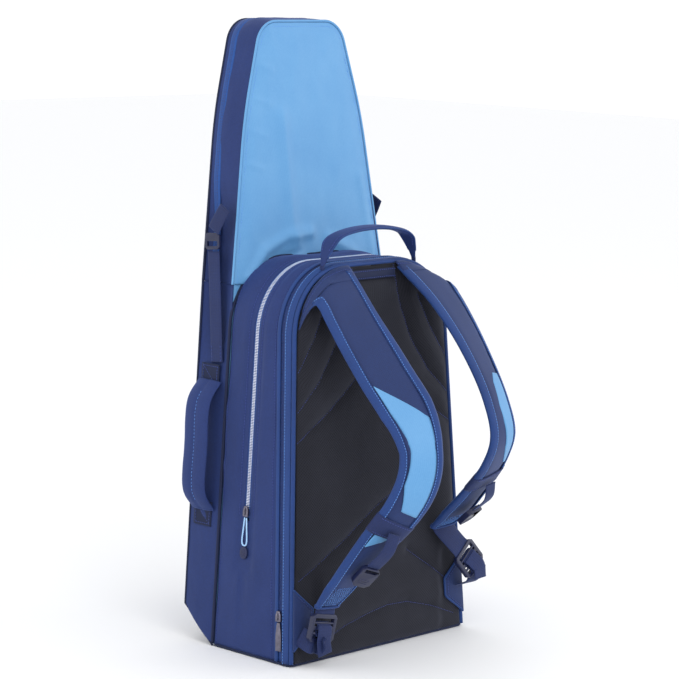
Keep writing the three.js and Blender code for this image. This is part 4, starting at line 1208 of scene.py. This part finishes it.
def strap_line(word):
    sign = SIDES[word]
    return Curve([(sign * x, back_y(STRAP_ROOT_Z - drop) - off, STRAP_ROOT_Z - drop)
                  for drop, off, x in STRAP_LINES[word]])


STRAPS = {word: strap_line(word) for word in SIDES}


def pad_frame(word, t):
    twist = -SIDES[word] * PAD_TWIST[word] * math.sin(math.pi * min(t * 1.1, 1))
    return STRAPS[word].frame(t, X_AXIS, twist)


def pad_edges(word, t):
    """The across places of the pad's outward and inward edges at t, in millimetres from its middle line."""
    table = np.array(PAD_EDGES[word])
    half = (PAD_W_TOP + (PAD_W_END - PAD_W_TOP) * t) / 2
    low, high = (float(np.interp(t, table[:, 0], table[:, k])) * half for k in (1, 2))
    return low, high


def pad_thickness(t):
    return PAD_T * (1 - 0.42 * float(smooth(0.93, 1.0, t))) * (1 - 0.35 * float(smooth(0.06, 0, t)))


def arch_top(x):
    """The height of the body's arch over a place across its width."""
    centre = BODY_W_TOP / 2 - BODY_CORNER_R
    over = min(max(abs(x) - centre, 0), BODY_CORNER_R)
    return BODY_H - BODY_CORNER_R + math.sqrt(BODY_CORNER_R**2 - over**2)


def pad_point(word, t, s, face=1, lift=0.0):
    """A place on the pad: s runs from -1 at one edge to 1 at the other, face 1 is the outer side."""
    at, wide, along, out = pad_frame(word, t)
    low, high = pad_edges(word, t)
    across = low + (high - low) * (s + 1) / 2
    height = pad_thickness(t) / 2 * max(0.0, 1 - abs(s) ** 5) ** 0.5 * (0.80 + 0.20 * (1 - s * s))
    place = at + wide * across + out * face * (height + lift)
    # The root follows the arch that it is sewn under.
    place[2] += min(0.0, arch_top(place[0]) - 5 - place[2]) * smooth(0.16, 0.0, t)
    return place


def pad_ring(word, t):
    s = np.sin(np.linspace(-math.pi / 2, math.pi / 2, 25))
    outer = [pad_point(word, t, a, 1) for a in s]
    inner = [pad_point(word, t, a, -1) for a in s[::-1][1:-1]]
    return outer + inner


def swollen(name, rings, draw_in=1.0, cap=1.2):
    """A foam pad under its cover: drawn in, voxel remeshed and blown up by cloth pressure, almost back to its shape,
    so that the panels and tapes on it stay in sight."""
    raw = loft_mesh(name, rings)
    drawn = [v.co - v.normal * (draw_in / 1000) for v in raw.data.vertices]
    for v, p in zip(raw.data.vertices, drawn):
        v.co = p
    raw.data.update()
    rest = np.array([v.co for v in raw.data.vertices])
    sim = raw.copy()
    sim.data = raw.data.copy()
    bpy.context.scene.collection.objects.link(sim)
    remesh = sim.modifiers.new("voxel", "REMESH")
    remesh.mode, remesh.voxel_size = "VOXEL", 0.005
    applied(sim)
    start = np.array([v.co for v in sim.data.vertices])
    cloth = sim.modifiers.new("puff", "CLOTH")
    cloth.settings.use_pressure = True
    cloth.settings.uniform_pressure_force = 4
    cloth.settings.effector_weights.gravity = 0
    cloth.point_cache.frame_start, cloth.point_cache.frame_end = 1, 20
    for number in range(1, 21):
        bpy.context.scene.frame_set(number)
    graph = bpy.context.evaluated_depsgraph_get()
    blown = np.array([v.co for v in sim.evaluated_get(graph).data.vertices])
    bpy.context.scene.frame_set(1)
    move = blown - start
    size = np.linalg.norm(move, axis=1, keepdims=True)
    move *= np.minimum(1, cap / 1000 / np.maximum(size, 1e-9))
    tree = KDTree(len(start))
    for i, p in enumerate(start):
        tree.insert(Vector(p), i)
    tree.balance()
    for v, p in zip(raw.data.vertices, rest):
        near = tree.find_n(Vector(p), 6)
        weights = np.array([1 / (d + 0.001) for _, _, d in near])
        shift = sum(move[i] * w for (_, i, _), w in zip(near, weights)) / weights.sum()
        v.co = Vector(p + shift)
    mesh = sim.data
    bpy.data.objects.remove(sim)
    bpy.data.meshes.remove(mesh)
    return raw


def add_pad(word):
    body = "strap_" + word
    ts = np.linspace(0, 1, 121)
    rings = np.array([pad_ring(word, t) for t in ts])
    pad = swollen(f"strap_pad_cloth_{word}", rings)
    finished(pad, strap_cloth, body, [f"strap_pad_{word}"])
    edge_seams = []
    for sign in (-1, 1):
        sections = []
        for t in np.linspace(0, 1, 121):
            outer = [pad_point(word, t, sign * a, 1, 0.9) for a in (0.70, 0.76, 0.83, 0.9, 0.955, 0.985)]
            tip = pad_point(word, t, sign) + pad_frame(word, t)[1] * sign
            inner = [pad_point(word, t, sign * a, -1, 0.9) for a in (0.985, 0.955, 0.9, 0.83, 0.76, 0.70)]
            back = [pad_point(word, t, sign * a, -1, -0.8) for a in (0.70, 0.85)]
            forth = [pad_point(word, t, sign * a, 1, -0.8) for a in (0.85, 0.70)]
            sections.append(outer + [tip] + inner + back + forth)
        bind = loft_mesh(f"strap_binding_{word}_{'low' if sign < 0 else 'high'}", np.array(sections))
        finished(bind, tape, body)
        edge_seams.append([pad_point(word, t, sign * 0.745, 1, 1.1) for t in np.linspace(0.01, 0.99, 150)])
        edge_seams.append([pad_point(word, t, sign * 0.745, -1, 1.1) for t in np.linspace(0.01, 0.99, 150)])
    stitches(f"strap_edge_stitches_{word}", edge_seams, body, blue_thread, 3.4, (0.75, 0.6, 2.6))
    closed = [pad_point(word, 0.995, s, 1, 0.8) for s in np.linspace(-1, 1, 15)]
    closed += [pad_point(word, 0.995, s, -1, 0.8) for s in np.linspace(1, -1, 15)]
    finished(tube_mesh(f"strap_end_binding_{word}", closed, 1.5, 8), tape, body)
    criss = []
    for k in range(9):
        for way in (-1, 1):
            path = []
            for q in np.linspace(0, 1, 12):
                t = 0.925 + 0.06 * q
                s = -0.62 + 1.24 * (k / 8) + way * (q - 0.5) * 0.55
                if abs(s) < 0.66:
                    path.append(pad_point(word, t, s, 1, 0.35))
            if len(path) > 2:
                criss.append(path)
    stitches(f"strap_end_stitching_{word}", criss, body, blue_thread, 2.6, (0.5, 0.4, 2.2))


def patch(word, name, edges, material):
    """A panel let into the pad's outer face, between two edges given as (t, low s, high s)."""
    table = np.array(edges)
    rows = []
    for t in np.linspace(table[0, 0], table[-1, 0], 60):
        low, high = np.interp(t, table[:, 0], table[:, 1]), np.interp(t, table[:, 0], table[:, 2])
        rows.append([pad_point(word, t, s, 1, 0.55 if 0 < k < 14 else -0.3)
                     for k, s in enumerate(np.linspace(low, high, 15))])
    made = sheet_mesh(name, np.array(rows), 0.6)
    return finished(made, material, "strap_" + word)


def add_strap_root(word):
    """The strap cloth carried on from the pad's root, over the edge of the back, to the piping."""
    rows = []
    shares = np.linspace(0.99, -0.99, 24)
    feet = [pad_point(word, 0.03, s, 1, 0.4) for s in shares]
    for v in np.linspace(0, 1, 9):
        row = []
        for foot in feet:
            z = arch_top(foot[0]) - 1.2
            head = np.array([foot[0], back_y(z) - PIPING_R - 1.4, z])
            row.append(foot + (head - foot) * v + np.array([0, -1.2 * math.sin(math.pi * v), 0]))
        rows.append(row)
    finished(sheet_mesh(f"strap_root_cloth_{word}", np.array(rows), 1.6), strap_cloth, "root")
    seam = [np.array(p) + [0, -0.5, 0] for p in rows[6]]
    stitches(f"strap_root_stitches_{word}", [seam], "root")


def add_pad_panels():
    patch("left", "strap_sky_panel_left_high",
          [(0.315, -0.66, -0.64), (0.36, -0.66, -0.2), (0.40, -0.66, 0.2), (0.44, -0.62, 0.66), (0.5, -0.52, 0.69),
           (0.55, -0.58, 0.69), (0.60, -0.64, 0.69), (0.665, -0.2, 0.69)], sky)
    patch("left", "strap_sky_panel_left_low",
          [(0.70, -0.45, 0.60), (0.73, -0.55, 0.45), (0.76, -0.62, 0.05), (0.785, -0.66, -0.62)], sky)
    patch("right", "strap_sky_panel_right",
          [(0.40, 0.2, 0.62), (0.43, -0.05, 0.68), (0.50, -0.2, 0.69), (0.56, -0.05, 0.69), (0.62, 0.1, 0.66),
           (0.68, 0.45, 0.6)], sky)


def band(name, line, width, thickness, across, material, body, replaces=(), steps=40, twist=None, crown=0.15):
    """A strap of webbing along a curve: flat, with soft edges. width and thickness may depend on t."""
    rings = []
    for t in np.linspace(0, 1, steps):
        at, wide, along, out = line.frame(t, across, twist(t) if twist else 0.0)
        w = (width(t) if callable(width) else width) / 2
        h = (thickness(t) if callable(thickness) else thickness) / 2
        s = np.sin(np.linspace(-math.pi / 2, math.pi / 2, 13))
        height = h * np.maximum(0, 1 - np.abs(s) ** 8) ** 0.5 * (1 + crown * (1 - s * s))
        ring = [at + wide * w * a + out * b for a, b in zip(s, height)]
        ring += [at + wide * w * a - out * b for a, b in zip(s[::-1][1:-1], height[::-1][1:-1])]
        rings.append(ring)
    made = loft_mesh(name, np.array(rings))
    return finished(made, material, body, replaces)


def lock_frame(word):
    way, tape_length = LOCK_WAYS[word]
    end = STRAPS[word].point(1)
    way = np.array(way) / np.linalg.norm(way)
    far = end + way * (tape_length + GAP)
    wide = np.array(X_AXIS) - way * way[0]
    wide /= np.linalg.norm(wide)
    return far, wide, way, np.cross(way, wide)


def softened(node, name, material, body, width=0.7, segments=3):
    """A moulding or casting made from its CAD solid, with rounded edges."""
    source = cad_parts[node]
    made = bpy.data.objects.new(name, source.data.copy())
    bpy.context.scene.collection.objects.link(made)
    edit = bmesh.new()
    edit.from_mesh(made.data)
    bmesh.ops.remove_doubles(edit, verts=edit.verts, dist=1e-5)
    bmesh.ops.dissolve_limit(edit, angle_limit=math.radians(2), verts=edit.verts, edges=edit.edges)
    edit.to_mesh(made.data)
    edit.free()
    applied(made, BEVEL={"width": width / 1000, "segments": segments, "limit_method": "ANGLE",
                         "angle_limit": math.radians(30)})
    finished(made, material, body, [node])
    made.data.set_sharp_from_angle(angle=math.radians(40))
    return made


def rounded_bar(name, place_frame, start, end, radius, material, body):
    path = on(place_frame, np.linspace(start, end, 7))
    return finished(tube_mesh(name, path, radius, 10), material, body)


def add_strap_end(word):
    """The tape from the pad's end, the ladder lock on it, and the webbing from the wing at the base."""
    sign = SIDES[word]
    far, wide, way, out = lock_frame(word)
    end, inside = STRAPS[word].point(1), STRAPS[word].point(0.96)
    tape_line = Curve([inside, end, far - way * (GAP + 0.5) * 0.5, far + way * 1.6])
    band(f"strap_tape_{word}", tape_line, 33, 2.6, X_AXIS, webbing, "strap_" + word, steps=26)
    softened(f"ladder_lock_{word}", f"ladder_lock_moulded_{word}", acetal, "lock_" + word, 1.1)
    place_frame = (far, wide, -way, out)
    for y in (LOCK_L / 2 + 6.4, LOCK_L / 2 - 6.4):
        rounded_bar(f"ladder_lock_bar_{word}_{int(y)}", place_frame, (-15.6, -y, 1.6), (15.6, -y, 1.6), 1.5, acetal,
                    "lock_" + word)
    lock_end = far + way * LOCK_L - out * (LOCK_T + 6)
    z = min(lock_end[2] + 6, 56)
    face = back_y(z) - PIPING_R - GAP - WALL
    root = np.array([sign * (half_width(z) - 8), face - 2.2, z])
    on_lock = far + way * (LOCK_L - 2.5) + out * 3.4
    mid = (root + on_lock) / 2 + np.array([sign * 3, -5, -5])
    turn = far + way * (LOCK_L + 2.6)
    flat = np.cross(on_lock - root, [0, 1, 0])
    flat /= np.linalg.norm(flat)
    if np.dot(flat, wide) < 0:
        flat = -flat
    lower = Curve([root, mid, turn - out * 3.0, turn + out * 2.2, on_lock - way * 6 + out * 0.6])
    band(f"lower_webbing_cloth_{word}", lower, 24, 1.8, flat, webbing,
         ("root", "strap_" + word, root / 1000, (turn - out * 4) / 1000),
         [f"lower_webbing_{word}"], 60)
    through = Curve([on_lock - way * 5 + out * 0.4, on_lock - way * 13 - out * 3.2, far + way * 17 + out * 4.4,
                     far + way * 10 - out * 1.0, far + way * 12 - out * 6])
    tail_end = far + way * 40 + out * 7 + np.array([-sign * 4, -1, -8])
    tail = Curve([far + way * 13 + out * 4.4, far + way * 22 + out * 6.4, far + way * 32 + out * 7.4, tail_end])
    band(f"webbing_through_lock_{word}", through, 24, 1.7, wide, webbing, "lock_" + word, steps=36)
    band(f"webbing_tail_{word}", tail, 23.5, 1.7, wide, webbing, "lock_" + word, steps=30)


def add_wing(word):
    """The triangle of cloth that the lower webbing is sewn to, with a bound edge and a row of stitching."""
    sign = SIDES[word]
    edge_high, edge_low, middle = 92, 20, 56
    reach = 32
    rows = []
    for v in np.linspace(0, 1, 26):
        z = edge_low + (edge_high - edge_low) * v
        tip = np.interp(z, [edge_low, middle - 12, middle + 10, edge_high], [0.0, reach, reach, 0.0])
        x0 = half_width(z) - 0.5
        row = []
        for u in np.linspace(0, 1, 20):
            swell = 1.5 * math.sin(math.pi * u) * math.sin(math.pi * v)
            row.append((sign * (x0 - max(tip, 0.6) * u), back_y(z) - PIPING_R - GAP - 2.6 - swell, z))
        rows.append(row)
    grid = np.array(rows)
    if sign < 0:
        grid = grid[:, ::-1]
    finished(sheet_mesh(f"strap_wing_cloth_{word}", grid, 2.0), strap_cloth, "root",
             [f"strap_wing_{word}"])
    rim = np.array([r[-1] for r in rows]) + [0, 0.9, 0]
    rim = dense(rim, 2.5)
    finished(tube_mesh(f"strap_wing_binding_{word}", rim, 1.5, 8), tape, "root")
    seam = [np.array(r[-1]) + [sign * 4.0, -1.3, 0] for r in rows[3:-3]]
    stitches(f"strap_wing_stitches_{word}", [seam], "root")


for word in SIDES:
    add_pad(word)
    add_strap_root(word)
    add_strap_end(word)
    add_wing(word)
add_pad_panels()


# ---- Sternum keepers, webbing and buckle


KEEPER_W, KEEPER_LIFT = 24, 1.7
STERNUM_WEBBING_W, STERNUM_LIFT = 18, 11.3
BUCKLE_L = 32


def keeper_loop(word, t):
    """Round the pad at t, from the middle of its inner side and back to it, the ends lapped."""
    at, wide, along, out = pad_frame(word, t)
    low, high = pad_edges(word, t)
    face = np.linspace(-0.96, 0.96, 21)
    start = [pad_point(word, t, s, -1, KEEPER_LIFT) for s in np.linspace(0.0, -0.96, 9)]
    over = [pad_point(word, t, s, 1, KEEPER_LIFT) for s in face]
    close = [pad_point(word, t, s, -1, KEEPER_LIFT + 2.3) for s in np.linspace(0.96, -0.12, 11)]
    return [*start, at + wide * (low - 2.6), *over, at + wide * (high + 2.6), *close]


def add_sternum(word):
    body = "sternum_" + word
    line, place = STRAPS[word], KEEPER_PLACE[word]
    share = KEEPER_W / line.length / 2
    loops = np.array([keeper_loop(word, t) for t in np.linspace(place - share, place + share, 9)])
    finished(sheet_mesh(f"sternum_keeper_webbing_{word}", loops, 1.3), webbing, "strap_" + word,
             [f"sternum_keeper_{word}"])
    seams = [[pad_point(word, place + k * share * 0.8, s, 1, KEEPER_LIFT + 0.2) for s in np.linspace(-0.8, 0.8, 40)]
             for k in (-1, 1)]
    stitches(f"sternum_keeper_stitches_{word}", seams, "strap_" + word)
    wide = pad_frame(word, place)[1]
    lifted = []
    for t, lift in ((place, STERNUM_LIFT), (place + 0.04, STERNUM_LIFT + 9), (place + 0.1, STERNUM_LIFT + 6)):
        at, _, _, out = pad_frame(word, t)
        lifted.append(at + out * lift)
    hang = Curve(lifted)
    band(f"sternum_webbing_cloth_{word}", hang, STERNUM_WEBBING_W, WEBBING_T, wide, webbing, body,
         [f"sternum_webbing_{word}"], 30)
    softened(f"sternum_buckle_{word}", f"sternum_buckle_moulded_{word}", acetal, body, 1.1)
    at, wide, along, out = hang.frame(1, wide)
    place_frame = (at, wide, -along, out)
    for y in (-BUCKLE_L + 6, -BUCKLE_L + 9, -BUCKLE_L + 12):
        rounded_bar(f"sternum_buckle_rib_{word}_{-y}", place_frame, (-7, y, 3.5), (7, y, 3.5), 0.7, acetal, body)
    rounded_bar(f"sternum_buckle_pin_{word}", place_frame, (-9.5, -3.6, 0), (9.5, -3.6, 0), 1.2, gunmetal, body)


# ---- Handles, tie straps and yoke


GRAB_FOOT_DROP = 2.5
GRAB_ROOT = np.array([0, back_y(BODY_H) + 2, BODY_H - GRAB_FOOT_DROP])
GRAB_HALF, GRAB_RISE, GRAB_W = 80, 44, 22
HANDLE_LOW_Z, HANDLE_L, HANDLE_W, HANDLE_T, HANDLE_STAND_OFF = 166, 156, 40, 7, 16
TIE_SEWN_Z, TIE_TOP_Z, TIE_W, HOOK_L, LOOP_TOP_RISE = 345, 478, 20, 20, 92
Y_AXIS = (0.0, 1.0, 0.0)


def band_seams(line, across, reach, lift, low=0.03, high=0.97, sides=(-1, 1)):
    """Two stitch lines, one by each edge of a band."""
    seams = []
    for side in sides:
        seam = []
        for t in np.linspace(low, high, 90):
            at, wide, along, out = line.frame(t, across)
            r = reach(t) if callable(reach) else reach
            seam.append(at + wide * side * r + out * lift)
        seams.append(seam)
    return seams


def add_grab_handle():
    rises = [(-1, 0), (-0.925, 18), (-0.775, 34), (0, GRAB_RISE), (0.775, 34), (0.925, 18), (1, 0)]
    line = Curve([GRAB_ROOT + [x * GRAB_HALF, 0, max(rise, 2.0)] for x, rise in rises])
    for side, word in ((-1, "left"), (1, "right")):
        foot = GRAB_ROOT + [side * GRAB_HALF, 0, -3.6]
        leg = line.point(0.06 if side < 0 else 0.94)
        tab = Curve([foot, GRAB_ROOT + [side * GRAB_HALF, 0, 1.5], leg])
        band(f"grab_handle_foot_{word}", tab, 6.5, 2.2, Y_AXIS, webbing,
             ("root", "grab_handle_body", foot / 1000, (foot + [0, 0, 4.5]) / 1000), steps=16)

    def width(t):
        return min(GRAB_W, 5 + (GRAB_W - 5) * 7 * min(t, 1 - t))

    band("grab_handle_cloth", line, width, lambda t: 2.4 + 1.8 * math.sin(math.pi * t), Y_AXIS, navy,
         "grab_handle_body", ["grab_handle"], 90, crown=0.35)
    for side in (-1, 1):
        shares = np.linspace(0.05, 0.95, 90)
        edge = [line.frame(t, Y_AXIS) for t in shares]
        path = [at + wide * side * width(t) / 2 for t, (at, wide, _, _) in zip(shares, edge)]
        finished(tube_mesh(f"grab_handle_binding_{side + 1}", path, 1.1, 8), tape, "grab_handle_body")
    for face in (-1, 1):
        stitches(f"grab_handle_stitches_{face + 1}",
                 band_seams(line, Y_AXIS, lambda t: width(t) / 2 - 2.6, face * 1.9, 0.1, 0.9), "grab_handle_body")


def add_side_handle():
    y = (FRONT_Y + GAP + SLEEVE_FRONT_Y) / 2
    root = HANDLE_T / 2 + GAP
    places = []
    for share, bulge in ((0, 0), (0.14, 1), (0.5, 1.1), (0.86, 1), (1, 0)):
        z = HANDLE_LOW_Z + HANDLE_L * share
        places.append((-(half_width(z) + root + HANDLE_STAND_OFF * bulge), y, z))
    line = Curve(places)
    rings = []
    for t in np.linspace(0, 1, 70):
        at, wide, along, out = line.frame(t, Y_AXIS)
        fat = 1 + 0.35 * math.sin(math.pi * t) - 0.05 * math.cos(14 * math.pi * t)
        s = np.sin(np.linspace(-math.pi / 2, math.pi / 2, 19))
        height = HANDLE_T / 2 * fat * np.maximum(0, 1 - np.abs(s) ** 3) ** 0.6
        height = height * (1 - 0.30 * np.exp(-((s / 0.10) ** 2)))
        ring = [at + wide * HANDLE_W / 2 * a + out * b for a, b in zip(s, height)]
        ring += [at + wide * HANDLE_W / 2 * a - out * b for a, b in zip(s[::-1][1:-1], height[::-1][1:-1])]
        rings.append(ring)
    handle = loft_mesh("side_handle_cloth", np.array(rings))
    finished(handle, navy, "root", ["side_handle"])
    seam = np.array(band_seams(line, Y_AXIS, 0, 0, 0.1, 0.9, (1,))[0]) - [3.4, 0, 0]
    stitches("side_handle_stitches", [seam], "root", blue_thread, 4.2)
    for name, z in (("low", HANDLE_LOW_Z - 6), ("high", HANDLE_LOW_Z + HANDLE_L + 6)):
        rows = []
        for v in np.linspace(-15, 15, 12):
            rows.append([(-(half_width(z + v) + 4.2), y + u, z + v) for u in np.linspace(-15, 15, 10)])
        finished(sheet_mesh(f"side_handle_tab_{name}", np.array(rows), 1.4), deep_navy, "root")
        box = [(-(half_width(z + v) + 4.4), y + u, z + v)
               for u, v in ((-12, -12), (12, -12), (12, 12), (-12, 12), (-12, -12), (12, 12))]
        stitches(f"side_handle_tab_stitches_{name}", [dense(np.array(box))], "root")


def add_tie(word):
    sign = SIDES[word]
    off = WEBBING_T / 2 + GAP

    def at(y, z, out=0):
        return (sign * (half_width(min(z, SLEEVE_H)) + off + out), y, z)

    y = FRONT_Y + GAP + SLEEVE_DEPTH / 2
    top = min(TIE_TOP_Z, SLEEVE_H + HOOD_KNEE_H)
    line = Curve([at(y - 8, TIE_SEWN_Z), at(y, (TIE_SEWN_Z + top) / 2), at(y + 6, top)])
    band(f"tie_strap_cloth_{word}", line, TIE_W, WEBBING_T, Y_AXIS, webbing, "root",
         [f"tie_strap_{word}"], 60)
    lift = 1.1 * sign * (1 if line.frame(0.5, Y_AXIS)[3][0] > 0 else -1)
    stitches(f"tie_strap_stitches_{word}", band_seams(line, Y_AXIS, TIE_W / 2 - 2.5, lift, 0.02, 0.14), "root")
    softened(f"tie_hook_{word}", f"tie_hook_moulded_{word}", acetal, f"tie_hook_body_{word}", 0.9)
    high, low = SLEEVE_H + LOOP_TOP_RISE, top + HOOK_L + 6
    loop = Curve([at(y - 12, high), at(y - 4, (high + low) / 2, 2), at(y + 4, low, 3)])
    band(f"hood_loop_cloth_{word}", loop, TIE_W, WEBBING_T, Y_AXIS, webbing, "hood",
         [f"hood_loop_{word}"], 40)


def add_yoke():
    half = STRAP_LINES["left"][0][2] - PAD_W_TOP / 2 - WALL
    rows = []
    for v in np.linspace(0, 1, 14):
        z = STRAP_ROOT_Z - 12 + 12 * v
        y = back_y(z) - PIPING_R - GAP - WALL - 0.8 * math.sin(math.pi * v)
        rows.append([(x, y, z) for x in np.linspace(half, -half, 40)])
    finished(sheet_mesh("yoke_band_cloth", np.array(rows), 2.2), deep_navy, "root", ["yoke_band"])
    seams = [[np.array(p) + [0, -0.5, 0] for p in rows[k]] for k in (2, 11)]
    stitches("yoke_band_stitches", seams, "root")


# ---- Sliders and pullers


def add_sliders():
    for word, sign in SIDES.items():
        for kind, place_frame in (("main", MAIN_SLIDER_PLACES[word]),
                                  ("rear", side_frame(sign, rear_zipper_y, 58, GAP))):
            body = f"{kind}_slider_body_{word}"
            softened(f"{kind}_slider_{word}", f"{kind}_slider_cast_{word}", gunmetal, body, 0.8)
            bridge = on(place_frame, [(0, -4.6, SLIDER_T - 0.2), (0, -3.4, SLIDER_T + 1.0), (0, -1.4, SLIDER_T + 1.5),
                                      (0, 1.4, SLIDER_T + 1.5), (0, 3.2, SLIDER_T + 1.0), (0, 4.4, SLIDER_T - 0.2)])
            finished(tube_mesh(f"{kind}_slider_bridge_{word}", dense(bridge, 0.6), 0.75, 10), gunmetal, body)
        softened(f"rear_puller_{word}", f"rear_puller_cast_{word}", gunmetal, f"rear_pull_{word}", 0.6)
    for word in POCKETS:
        softened(f"pocket_slider_{word}", f"pocket_slider_cast_{word}", gunmetal, f"pocket_slider_body_{word}",
                 0.8)


for word in SIDES:
    add_sternum(word)
    add_tie(word)
add_grab_handle()
add_side_handle()
add_yoke()
add_sliders()
